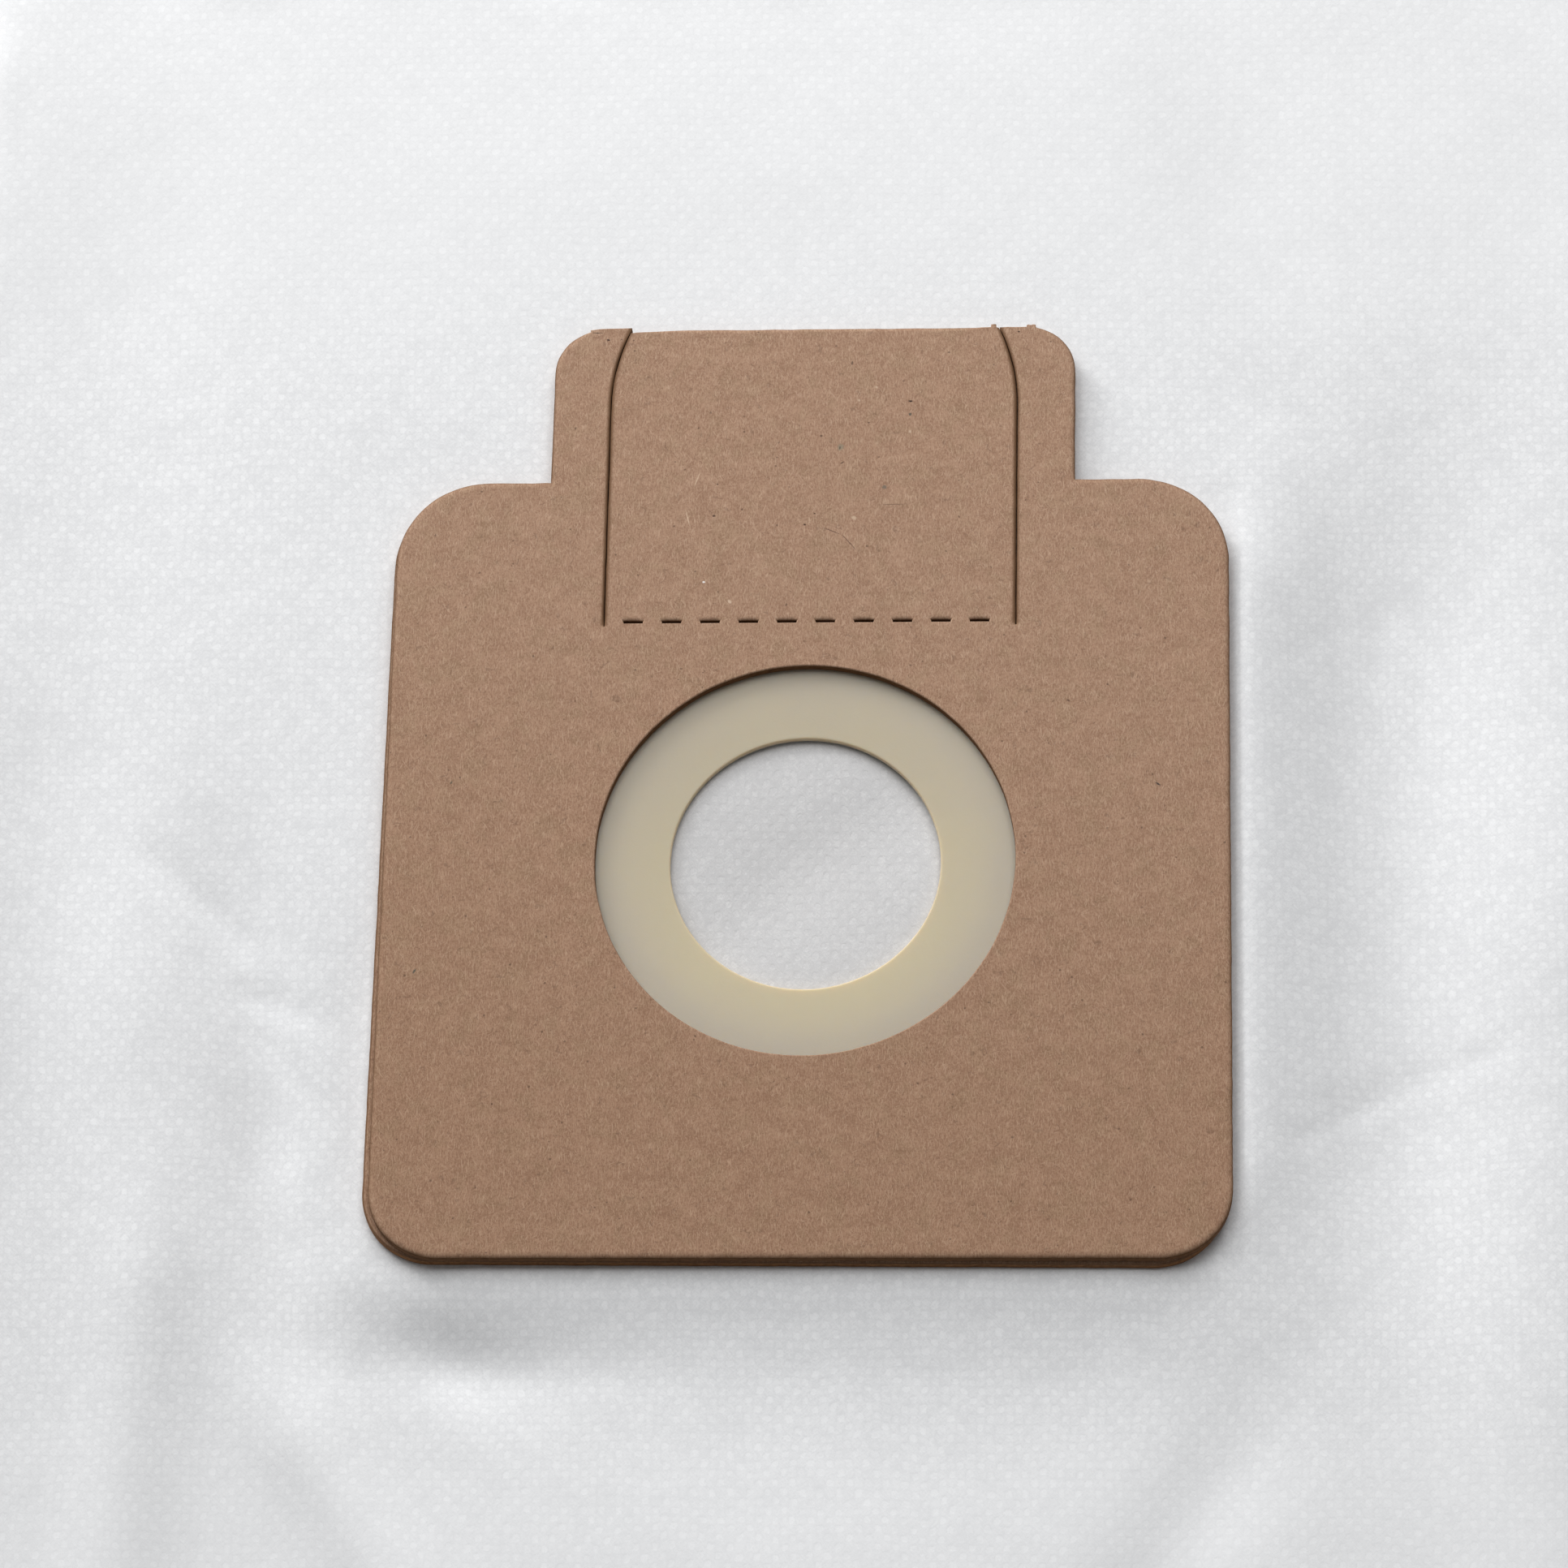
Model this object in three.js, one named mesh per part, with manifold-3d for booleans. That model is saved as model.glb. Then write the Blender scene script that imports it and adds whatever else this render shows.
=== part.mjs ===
// Vacuum dust bag: two non-woven cloth panels welded together round their edge. A collar
// of two die-cut cards is glued over the inlet hole in the front panel, with a rubber
// seal ring held between them. The front card has a flap, cut free on three sides, that
// bends along a perforated line. Millimetres, +Z up. The bag lies flat on its rear panel
// with the collar facing up, and +Y runs from the inlet hole towards the flap.
import * as THREE from "three";
import { mergeVertices } from "three/addons/utils/BufferGeometryUtils.js";
import Module from "manifold-3d";

// The bag
const bagWidth = 300;
const bagLength = 380;
const holeToBagTop = 172; // centre of the inlet hole to the bag's top edge
const clothThickness = 0.6;
const weldWidth = 8; // band round the edge where the panels are pressed together
const weldThickness = 0.8; // both panels in that band
const weldStep = 2; // width over which the cloth regains its thickness
const dustGap = 4.6; // clear height between the panels under the collar's edge
const bagPuff = 4.6; // clear height between the panels away from the collar
const puffRun = 8; // distance over which the front panel rises from the weld
const leastGap = 0.4; // the panels come no closer than this inside the weld
const shoulderEase = 0.5; // flat cloth beyond the collar's edge
const shoulderRun = 18; // distance over which the cloth falls away from the collar
const frontCell = 14; // largest cell of the front panel's surface
const rearCell = 16; // and of the rear panel's

// The collar
const cardThickness = 1.6;
const cardWidth = 130;
const holeToCardBottom = 64.6;
const holeToShoulder = 64.2;
const holeToTabTop = 90.7;
const tabWidth = 82.2;
const bottomCornerRadius = 11;
const shoulderRadius = 14;
const tabCornerRadius = 7.5;
const cardEdgeRound = 0.35; // the die leaves the card's edges softened
const cardHoleDiameter = 64.6;
const rearCardTurn = -0.33; // degrees, the rear card is glued on a little askew
const rearCardSlipX = -0.35;
const rearCardSlipY = -0.1;

// The flap in the front card
const flapWidth = 64.1; // between the middles of the two slits
const slitWidth = 0.45;
const hookRise = 13.5; // height over which each slit curves inward at its top
const hookInset = 3;
const holeToPerforation = 39.9;
const slitRunOut = 0.6; // how far each slit runs past the perforated line
const dashLength = 3;
const dashWidth = 0.6;
const dashPitch = 6;
const dashCount = 10;
const dashRowShift = -0.5; // the row of dashes sits a little to the left

// Torn remains of the bridges that held the card in its sheet, on the tab's top edge.
// Each starts a distance outward from the top of the slit on its side.
const nicks = [
  { side: -1, outward: 0, width: 6.5, rise: 0.4 },
  { side: 1, outward: -1.15, width: 0.75, rise: 0.6 },
  { side: 1, outward: 4.45, width: 1.4, rise: 0.4 },
];

// The seal ring
const sealHoleDiameter = 41.6;
const sealOverlap = 6; // seal ring held under the front card, all round its hole
const sealEdgeRound = 0.2; // of the lip round the seal ring's hole
const sealClearance = 0.3; // to the cloth below and the rear card round it
const clothLap = 2.3; // cloth left under the seal inside the card's hole

// Soft folds of the front panel, measured from the inlet hole: a crest where the height
// is positive and a valley where it is negative. Each fades to its sides over its width,
// and past its ends over a few widths.
const foldTaper = 2.2; // widths over which a fold fades past its ends
const frontFolds = [
  { from: [91, 34], to: [92, -38], width: 15, height: -4 },
  { from: [104, 72], to: [100, 40], width: 16, height: -0.8 },
  { from: [-58, -78], to: [-44, -78], width: 10, height: -2.4 },
  { from: [-44, -90], to: [36, -88], width: 20, height: -2.3 },
  { from: [-88, -8], to: [-81, -36], width: 8, height: -1.6 },
  { from: [-80, -50], to: [-73, -70], width: 6.5, height: -1.8 },
  { from: [-99, -70], to: [-102, -130], width: 8, height: 1.8 },
  { from: [-72, -94], to: [-56, -120], width: 7, height: 2.4 },
  { from: [66, -98], to: [50, -120], width: 10, height: -1.5 },
  { from: [116, -16], to: [114, -130], width: 16, height: 2.6 },
  { from: [-114, 90], to: [-116, 24], width: 18, height: -1.8 },
  { from: [-136, 14], to: [-134, -20], width: 13, height: 2.6 },
  { from: [-104, -26], to: [-102, -44], width: 10, height: 1.2 },
  { from: [114, 150], to: [126, 120], width: 14, height: -1.6 },
  { from: [66, 112], to: [76, 80], width: 10, height: -1 },
  { from: [0, -118], to: [30, -150], width: 22, height: 1.1 },
];

// The rear panel swells up under the inlet hole, close to the seal ring
const swellGap = 0.8; // clear height between the swell's top and the seal ring
const swellFlat = 18; // radius of its top
const swellRadius = 54; // where it meets the surface under the bag
const rearFolds = [{ from: [-24, -20], to: [30, 22], width: 9, height: -0.7 }];

const circleSteps = 64;
const cornerSteps = 4; // pairs of steps in a rounded corner
const roundSteps = 2; // steps in a softened edge
const through = 1; // how far a cut runs past the face it opens

// Heights and places that follow from the driving dimensions
const holeY = bagLength / 2 - holeToBagTop; // inlet hole in the bag's own frame
const weldHalf = weldThickness / 2;
const clothTop = clothThickness + dustGap + clothThickness; // front panel under the collar
const frontCardBase = clothTop + cardThickness;
const sealThickness = cardThickness - sealClearance;
const sealRadius = cardHoleDiameter / 2 + sealOverlap;
const rearSlip = Math.hypot(rearCardSlipX, rearCardSlipY);
const rearHoleRadius = sealRadius + sealClearance + rearSlip;
const clothHoleRadius = cardHoleDiameter / 2 - clothLap;
const swellTop = frontCardBase - sealThickness - swellGap; // upper side of the rear panel

const card = new THREE.MeshStandardMaterial({ color: 0xa0816b, roughness: 0.92, metalness: 0 });
const rubber = new THREE.MeshStandardMaterial({ color: 0xc0b79f, roughness: 0.6, metalness: 0 });
const cloth = new THREE.MeshStandardMaterial({ color: 0xe9eaec, roughness: 0.95, metalness: 0 });

const wasm = await Module();
wasm.setup();

function toSolid(geometry) {
  const bare = geometry.clone();
  bare.deleteAttribute("normal");
  bare.deleteAttribute("uv");
  const merged = mergeVertices(bare, 1e-4);
  return new wasm.Manifold(new wasm.Mesh({
    numProp: 3,
    vertProperties: new Float32Array(merged.attributes.position.array),
    triVerts: new Uint32Array(merged.index.array),
  }));
}

function toGeometry(solid) {
  const mesh = solid.getMesh();
  const geometry = new THREE.BufferGeometry();
  geometry.setAttribute("position", new THREE.BufferAttribute(mesh.vertProperties, 3));
  geometry.setIndex(new THREE.BufferAttribute(mesh.triVerts, 1));
  geometry.computeVertexNormals();
  return geometry;
}

function smoothStep(t) {
  const s = Math.min(Math.max(t, 0), 1);
  return s * s * (3 - 2 * s);
}

// Distance outside a box given by its half width and its low and high edge
function boxDistance(x, y, halfWidth, low, high) {
  const outX = Math.max(Math.abs(x) - halfWidth, 0);
  const outY = Math.max(low - y, y - high, 0);
  return Math.hypot(outX, outY);
}

// Distance outside the collar and the flat cloth round it, measured from the hole
function collarDistance(x, y) {
  const low = -holeToCardBottom - shoulderEase;
  const body = boxDistance(x, y, cardWidth / 2 + shoulderEase, low, holeToShoulder + shoulderEase);
  const tab = boxDistance(x, y, tabWidth / 2 + shoulderEase, low, holeToTabTop + shoulderEase);
  return Math.min(body, tab);
}

// Distance inside the weld's inner edge, measured from the hole
function weldDistance(x, y) {
  const sideways = bagWidth / 2 - weldWidth - Math.abs(x);
  const above = holeToBagTop - weldWidth - y;
  const below = bagLength - holeToBagTop - weldWidth + y;
  return Math.min(sideways, above, below);
}

function foldHeight(folds, x, y) {
  let height = 0;
  for (const fold of folds) {
    const [ax, ay] = fold.from;
    const length = Math.hypot(fold.to[0] - ax, fold.to[1] - ay);
    const dx = (fold.to[0] - ax) / length;
    const dy = (fold.to[1] - ay) / length;
    const along = (x - ax) * dx + (y - ay) * dy;
    const across = ((x - ax) * dy - (y - ay) * dx) / fold.width;
    const beyond = Math.max(-along, along - length, 0) / (foldTaper * fold.width);
    height += fold.height * Math.exp(-across * across - beyond * beyond);
  }
  return height;
}

// How far the front panel's underside stands above the flat rear panel's upper side
function frontLift(x, y) {
  const inside = weldDistance(x, y);
  const rise = smoothStep(inside / puffRun);
  const nearCollar = 1 - smoothStep(collarDistance(x, y) / shoulderRun);
  const free = (bagPuff + foldHeight(frontFolds, x, y)) * rise;
  return Math.max(free + (dustGap - free) * nearCollar, leastGap);
}

function rearLift(x, y) {
  const outward = (Math.hypot(x, y) - swellFlat) / (swellRadius - swellFlat);
  const share = 1 - smoothStep(outward);
  return (swellTop - clothThickness + foldHeight(rearFolds, x, y)) * share;
}

function isWeld(x, y) {
  return weldDistance(x, y) < weldStep / 2;
}

function frontUnder(x, y) {
  return isWeld(x, y) ? weldHalf : clothThickness + frontLift(x, y);
}

function frontOver(x, y) {
  return isWeld(x, y) ? weldThickness : frontUnder(x, y) + clothThickness;
}

function rearUnder(x, y) {
  return isWeld(x, y) ? 0 : rearLift(x, y);
}

function rearOver(x, y) {
  return isWeld(x, y) ? weldHalf : rearLift(x, y) + clothThickness;
}

// Splits the stretches between the given stops into equal steps no longer than a cell
function gridLines(stops, cell) {
  const lines = [stops[0]];
  for (let i = 1; i < stops.length; i += 1) {
    const span = stops[i] - stops[i - 1];
    const steps = Math.max(Math.ceil(span / cell), 1);
    for (let k = 1; k <= steps; k += 1) lines.push(stops[i - 1] + (span * k) / steps);
  }
  return lines;
}

// A sheet of cloth between two height functions over a grid, measured from the hole
function clothSheet(underAt, overAt, cell) {
  const half = bagWidth / 2;
  const top = holeToBagTop;
  const bottom = holeToBagTop - bagLength;
  const cardHalf = cardWidth / 2 + shoulderEase;
  const tabHalf = tabWidth / 2 + shoulderEase;
  const puffed = weldWidth + puffRun;
  const right = [
    0, tabHalf, cardHalf, cardHalf + shoulderRun,
    half - puffed, half - weldWidth - weldStep, half - weldWidth, half,
  ];
  const left = right.slice(1).map((x) => -x).reverse();
  const xs = gridLines([...left, ...right], cell);
  const ys = gridLines([
    bottom, bottom + weldWidth, bottom + weldWidth + weldStep, bottom + puffed,
    -holeToCardBottom - shoulderEase - shoulderRun, -holeToCardBottom - shoulderEase,
    holeToShoulder + shoulderEase, holeToTabTop + shoulderEase,
    top - puffed, top - weldWidth - weldStep, top - weldWidth, top,
  ], cell);
  const columns = xs.length;
  const layer = columns * ys.length;
  const positions = [];
  for (const heightAt of [underAt, overAt]) {
    for (const y of ys) for (const x of xs) positions.push(x, y + holeY, heightAt(x, y));
  }
  const index = [];
  const quad = (a, b, c, d) => index.push(a, b, c, a, c, d);
  for (let j = 0; j < ys.length - 1; j += 1) {
    for (let i = 0; i < columns - 1; i += 1) {
      const a = j * columns + i;
      quad(a, a + columns, a + columns + 1, a + 1);
      quad(layer + a, layer + a + 1, layer + a + columns + 1, layer + a + columns);
    }
  }
  for (let i = 0; i < columns - 1; i += 1) {
    const far = (ys.length - 1) * columns + i;
    quad(i, i + 1, layer + i + 1, layer + i);
    quad(far + 1, far, layer + far, layer + far + 1);
  }
  for (let j = 0; j < ys.length - 1; j += 1) {
    const near = j * columns;
    const far = near + columns - 1;
    quad(near + columns, near, layer + near, layer + near + columns);
    quad(far, far + columns, layer + far + columns, layer + far);
  }
  const geometry = new THREE.BufferGeometry();
  geometry.setAttribute("position", new THREE.Float32BufferAttribute(positions, 3));
  geometry.setIndex(index);
  geometry.computeVertexNormals();
  return geometry;
}

// The card's outline round the hole at the origin, with arcs at its outer corners
function cardOutline() {
  const half = cardWidth / 2;
  const tabHalf = tabWidth / 2;
  const low = -holeToCardBottom;
  const shape = new THREE.Shape();
  const corner = (x, y, radius, quarter) => {
    const centreX = x - Math.sign(x) * radius;
    const centreY = y - Math.sign(y) * radius;
    const start = (quarter * Math.PI) / 2;
    shape.absarc(centreX, centreY, radius, start, start + Math.PI / 2);
  };
  shape.moveTo(-half + bottomCornerRadius, low);
  shape.lineTo(half - bottomCornerRadius, low);
  corner(half, low, bottomCornerRadius, 3);
  corner(half, holeToShoulder, shoulderRadius, 0);
  shape.lineTo(tabHalf, holeToShoulder);
  corner(tabHalf, holeToTabTop, tabCornerRadius, 0);
  corner(-tabHalf, holeToTabTop, tabCornerRadius, 1);
  shape.lineTo(-tabHalf, holeToShoulder);
  corner(-half, holeToShoulder, shoulderRadius, 1);
  corner(-half, low, bottomCornerRadius, 2);
  return shape;
}

// A card with a round hole and softened edges, its underside at height zero
function cardBlank(holeRadius) {
  const shape = cardOutline();
  const hole = new THREE.Path();
  const arcs = circleSteps / (2 * cornerSteps);
  for (let k = 0; k < arcs; k += 1) {
    hole.absarc(0, 0, holeRadius, (k * 2 * Math.PI) / arcs, ((k + 1) * 2 * Math.PI) / arcs);
  }
  shape.holes.push(hole);
  const geometry = new THREE.ExtrudeGeometry(shape, {
    depth: cardThickness - 2 * cardEdgeRound,
    curveSegments: cornerSteps,
    bevelThickness: cardEdgeRound,
    bevelSize: cardEdgeRound,
    bevelOffset: -cardEdgeRound,
    bevelSegments: roundSteps,
  });
  geometry.translate(0, 0, cardEdgeRound);
  return geometry;
}

// A straight slit whose top curves inward, as one closed outline; side is -1 or 1
function slitCutter(side) {
  const x = (side * flapWidth) / 2;
  const low = holeToPerforation - slitRunOut;
  const bend = holeToTabTop - hookRise;
  const radius = (hookRise ** 2 + hookInset ** 2) / (2 * hookInset);
  const centreX = x - side * radius;
  const sweep = Math.asin((hookRise + through) / radius);
  const inner = radius - slitWidth / 2;
  const outer = radius + slitWidth / 2;
  const at = (r, angle) => [centreX + side * r * Math.cos(angle), bend + r * Math.sin(angle)];
  const steps = 2 * cornerSteps;
  const points = [[x + (side * slitWidth) / 2, low]];
  for (let k = 0; k <= steps; k += 1) points.push(at(outer, (sweep * k) / steps));
  for (let k = steps; k >= 0; k -= 1) points.push(at(inner, (sweep * k) / steps));
  points.push([x - (side * slitWidth) / 2, low]);
  const shape = new THREE.Shape(points.map(([px, py]) => new THREE.Vector2(px, py)));
  const geometry = new THREE.ExtrudeGeometry(shape, {
    depth: cardThickness + 2 * through,
    bevelEnabled: false,
  });
  return geometry.translate(0, 0, -through);
}

function dashCutter(k) {
  const x = dashRowShift + (k - (dashCount - 1) / 2) * dashPitch;
  const geometry = new THREE.BoxGeometry(dashLength, dashWidth, cardThickness + 2 * through);
  return geometry.translate(x, holeToPerforation, cardThickness / 2);
}

// The height of the tab's top edge at a distance from its middle, round its corners too
function tabEdge(x) {
  const intoCorner = Math.max(Math.abs(x) - tabWidth / 2 + tabCornerRadius, 0);
  const rise = Math.sqrt(Math.max(tabCornerRadius ** 2 - intoCorner ** 2, 0));
  return holeToTabTop - tabCornerRadius + rise;
}

// A torn bridge that stands out of the tab's top edge and is rooted in the card
function nickStub(nick) {
  const inner = flapWidth / 2 - hookInset + nick.outward;
  const outer = inner + nick.width;
  const top = tabEdge(inner) + nick.rise;
  const root = tabEdge(outer) - nick.rise - 2 * cardEdgeRound;
  const height = cardThickness - 2 * cardEdgeRound;
  const geometry = new THREE.BoxGeometry(nick.width, top - root, height);
  return geometry.translate((nick.side * (inner + outer)) / 2, (top + root) / 2, cardThickness / 2);
}

function makeFrontCard() {
  let solid = toSolid(cardBlank(cardHoleDiameter / 2));
  for (const nick of nicks) solid = solid.add(toSolid(nickStub(nick)));
  for (const side of [-1, 1]) solid = solid.subtract(toSolid(slitCutter(side)));
  for (let k = 0; k < dashCount; k += 1) solid = solid.subtract(toSolid(dashCutter(k)));
  return toGeometry(solid);
}

function makeRearCard() {
  const turn = THREE.MathUtils.degToRad(rearCardTurn);
  return cardBlank(rearHoleRadius).rotateZ(turn).translate(rearCardSlipX, rearCardSlipY, 0);
}

// A flat ring with a softened inner lip, its underside at height zero
function makeSealRing() {
  const inner = sealHoleDiameter / 2;
  const e = sealEdgeRound;
  const profile = [
    [inner + e, 0], [sealRadius, 0], [sealRadius, sealThickness], [inner + e, sealThickness],
    [inner, sealThickness - e], [inner, e], [inner + e, 0],
  ].map(([r, z]) => new THREE.Vector2(r, z));
  const ring = new THREE.LatheGeometry(profile, circleSteps);
  return ring.rotateX(Math.PI / 2);
}

function makeFrontPanel() {
  const height = clothTop + 2 * through;
  const cutter = new THREE.CylinderGeometry(clothHoleRadius, clothHoleRadius, height, circleSteps);
  cutter.rotateX(Math.PI / 2).translate(0, holeY, height / 2);
  return toGeometry(toSolid(clothSheet(frontUnder, frontOver, frontCell)).subtract(toSolid(cutter)));
}

function piece(name, geometry, material) {
  const mesh = new THREE.Mesh(geometry, material);
  mesh.name = name;
  return mesh;
}

// The collar's pieces are made round the hole, then set down over it
function makeCollar() {
  const collar = new THREE.Group();
  const rearCard = piece("rear_card", makeRearCard(), card);
  const frontCard = piece("front_card", makeFrontCard(), card);
  const sealRing = piece("seal_ring", makeSealRing(), rubber);
  rearCard.position.z = clothTop;
  frontCard.position.z = frontCardBase;
  sealRing.position.z = frontCardBase - sealThickness;
  collar.add(rearCard, frontCard, sealRing);
  collar.position.y = holeY;
  return collar;
}

const dustBag = new THREE.Group();
dustBag.add(piece("rear_panel", clothSheet(rearUnder, rearOver, rearCell), cloth));
dustBag.add(piece("front_panel", makeFrontPanel(), cloth));
dustBag.add(makeCollar());

export default dustBag;
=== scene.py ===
import math
import bpy
import numpy as np
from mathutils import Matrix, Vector, geometry


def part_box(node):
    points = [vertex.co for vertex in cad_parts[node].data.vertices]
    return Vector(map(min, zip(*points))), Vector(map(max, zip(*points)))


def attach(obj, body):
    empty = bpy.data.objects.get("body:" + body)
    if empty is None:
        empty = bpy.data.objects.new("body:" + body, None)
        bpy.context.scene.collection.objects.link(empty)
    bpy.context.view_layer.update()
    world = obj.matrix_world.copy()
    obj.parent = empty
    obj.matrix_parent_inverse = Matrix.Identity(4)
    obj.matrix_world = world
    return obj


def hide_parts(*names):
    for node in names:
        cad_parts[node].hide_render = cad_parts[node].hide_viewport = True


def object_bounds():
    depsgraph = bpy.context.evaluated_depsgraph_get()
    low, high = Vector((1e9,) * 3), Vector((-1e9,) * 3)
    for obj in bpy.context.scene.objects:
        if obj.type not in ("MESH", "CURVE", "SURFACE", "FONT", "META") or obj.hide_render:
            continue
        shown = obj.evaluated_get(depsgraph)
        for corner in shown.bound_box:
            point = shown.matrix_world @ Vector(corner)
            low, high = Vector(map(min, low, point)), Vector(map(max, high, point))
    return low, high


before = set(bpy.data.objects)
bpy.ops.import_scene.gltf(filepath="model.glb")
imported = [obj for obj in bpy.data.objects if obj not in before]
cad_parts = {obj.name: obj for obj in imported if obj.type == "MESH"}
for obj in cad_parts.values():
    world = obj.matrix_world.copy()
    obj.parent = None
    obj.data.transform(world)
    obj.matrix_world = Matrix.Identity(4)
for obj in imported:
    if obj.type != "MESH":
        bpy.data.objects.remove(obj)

# Cloth dust bag lying flat with its card collar up. Shapes are made in millimetres round
# the middle of the inlet hole and set down on the frame's own places.

cadLow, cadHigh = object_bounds()
sealLow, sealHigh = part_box("seal_ring")
frontCardLow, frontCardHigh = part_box("front_card")
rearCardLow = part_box("rear_card")[0]

perMetre = 1000
holeX = (sealLow.x + sealHigh.x) / 2
holeY = (sealLow.y + sealHigh.y) / 2
clothTop = rearCardLow.z * perMetre  # the cloth that the collar is glued to
frontCardBase = frontCardLow.z * perMetre  # it lies on the rear card
collarTop = frontCardHigh.z * perMetre
sealBase = sealLow.z * perMetre

# Helpers for shapes


def softStep(t):
    s = np.clip(t, 0, 1)
    return s * s * (3 - 2 * s)


def softNoise(x, y, size, seed):
    # smooth random heights from -1 to 1 with bumps about one size wide
    table = np.random.default_rng(seed).uniform(-1, 1, (97, 97))
    u = np.asarray(x, float) / size + 41.3
    v = np.asarray(y, float) / size + 37.9
    i = np.floor(u).astype(int)
    j = np.floor(v).astype(int)
    s = softStep(u - i)
    t = softStep(v - j)
    a = table[i % 97, j % 97]
    b = table[(i + 1) % 97, j % 97]
    c = table[i % 97, (j + 1) % 97]
    d = table[(i + 1) % 97, (j + 1) % 97]
    return (a * (1 - s) + b * s) * (1 - t) + (c * (1 - s) + d * s) * t


def toObject(name, points, faces, materials, faceMaterials=None, smooth=True):
    # points are in millimetres round the hole, heights above the surface under the bag
    place = np.array([holeX, holeY, 0])
    spots = np.asarray(points, float) / perMetre + place
    mesh = bpy.data.meshes.new(name)
    mesh.from_pydata(spots.tolist(), [], [list(map(int, f)) for f in faces])
    for material in materials:
        mesh.materials.append(material)
    if faceMaterials is not None:
        mesh.polygons.foreach_set("material_index", np.asarray(faceMaterials, np.int32))
    mesh.polygons.foreach_set("use_smooth", np.full(len(mesh.polygons), smooth))
    mesh.validate()
    mesh.update()
    obj = bpy.data.objects.new(name, mesh)
    bpy.context.scene.collection.objects.link(obj)
    return obj


# Helpers for materials


def newMaterial(name):
    material = bpy.data.materials.new(name)
    material.use_nodes = True
    tree = material.node_tree
    tree.nodes.clear()
    output = tree.nodes.new("ShaderNodeOutputMaterial")
    shader = tree.nodes.new("ShaderNodeBsdfPrincipled")
    tree.links.new(shader.outputs["BSDF"], output.inputs["Surface"])
    return material, tree, shader


def newGroup(name, inputs, outputs):
    # an input is a number or a vector by its value, None for a vector that is always linked
    group = bpy.data.node_groups.new(name, "ShaderNodeTree")
    for label, value in inputs.items():
        kind = "NodeSocketFloat" if isinstance(value, float) else "NodeSocketVector"
        socket = group.interface.new_socket(label, in_out="INPUT", socket_type=kind)
        if value is not None:
            socket.default_value = value
    for label in outputs:
        group.interface.new_socket(label, in_out="OUTPUT", socket_type="NodeSocketFloat")
    return group, group.nodes.new("NodeGroupInput"), group.nodes.new("NodeGroupOutput")


def plug(tree, value, socket):
    if isinstance(value, bpy.types.NodeSocket):
        tree.links.new(value, socket)
    elif value is not None:
        socket.default_value = value


def plugAll(tree, node, values):
    for label, value in values.items():
        plug(tree, value, node.inputs[label])


def maths(tree, operation, a, b=None, c=None, clamp=False):
    node = tree.nodes.new("ShaderNodeMath")
    node.operation = operation
    node.use_clamp = clamp
    for value, socket in zip((a, b, c), node.inputs):
        plug(tree, value, socket)
    return node.outputs[0]


def vectorMaths(tree, operation, a, b=None, scale=None):
    node = tree.nodes.new("ShaderNodeVectorMath")
    node.operation = operation
    plug(tree, a, node.inputs[0])
    plug(tree, b, node.inputs[1])
    if scale is not None:
        plug(tree, scale, node.inputs["Scale"])
    return node.outputs["Value"] if operation == "LENGTH" else node.outputs[0]


def separate(tree, value):
    node = tree.nodes.new("ShaderNodeSeparateXYZ")
    plug(tree, value, node.inputs[0])
    return node.outputs


def fade(tree, value, start, end, low=0.0, high=1.0):
    # a soft ramp from low at start to high at end
    node = tree.nodes.new("ShaderNodeMapRange")
    node.interpolation_type = "SMOOTHSTEP"
    plugAll(tree, node, {"Value": value, "From Min": start, "From Max": end, "To Min": low,
                         "To Max": high})
    return node.outputs[0]


def noiseAt(tree, place, scale, detail=2.0, roughness=0.5, distortion=0.0):
    node = tree.nodes.new("ShaderNodeTexNoise")
    plugAll(tree, node, {"Vector": place, "Scale": scale, "Detail": detail,
                         "Roughness": roughness, "Distortion": distortion})
    return node.outputs["Fac"]


def stretched(tree, place, amounts, angle=0.0, shift=(0, 0, 0)):
    # amounts are waves per millimetre along axes turned by the angle
    node = tree.nodes.new("ShaderNodeMapping")
    node.vector_type = "TEXTURE"
    plugAll(tree, node, {"Vector": place, "Location": shift, "Rotation": (0, 0, angle),
                         "Scale": [1 / a for a in amounts]})
    return node.outputs[0]


def mixColour(tree, factor, a, b, blend="MIX"):
    node = tree.nodes.new("ShaderNodeMix")
    node.data_type = "RGBA"
    node.blend_type = blend
    plug(tree, factor, node.inputs[0])
    for value, socket in ((a, node.inputs[6]), (b, node.inputs[7])):
        plug(tree, (*value, 1) if isinstance(value, tuple) else value, socket)
    return node.outputs[2]


def useGroup(tree, group, **values):
    node = tree.nodes.new("ShaderNodeGroup")
    node.node_tree = group
    plugAll(tree, node, values)
    return node


def holeMillimetres(tree):
    # the place on the object, in millimetres from the middle of the hole
    node = tree.nodes.new("ShaderNodeTexCoord")
    away = vectorMaths(tree, "SUBTRACT", node.outputs["Object"], (holeX, holeY, 0))
    return vectorMaths(tree, "SCALE", away, scale=float(perMetre))


def bumped(tree, shader, height, distance):
    # the distance is in millimetres
    node = tree.nodes.new("ShaderNodeBump")
    plugAll(tree, node, {"Strength": 1.0, "Distance": distance / perMetre, "Height": height})
    tree.links.new(node.outputs["Normal"], shader.inputs["Normal"])


# Shader groups shared by the finishes


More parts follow.
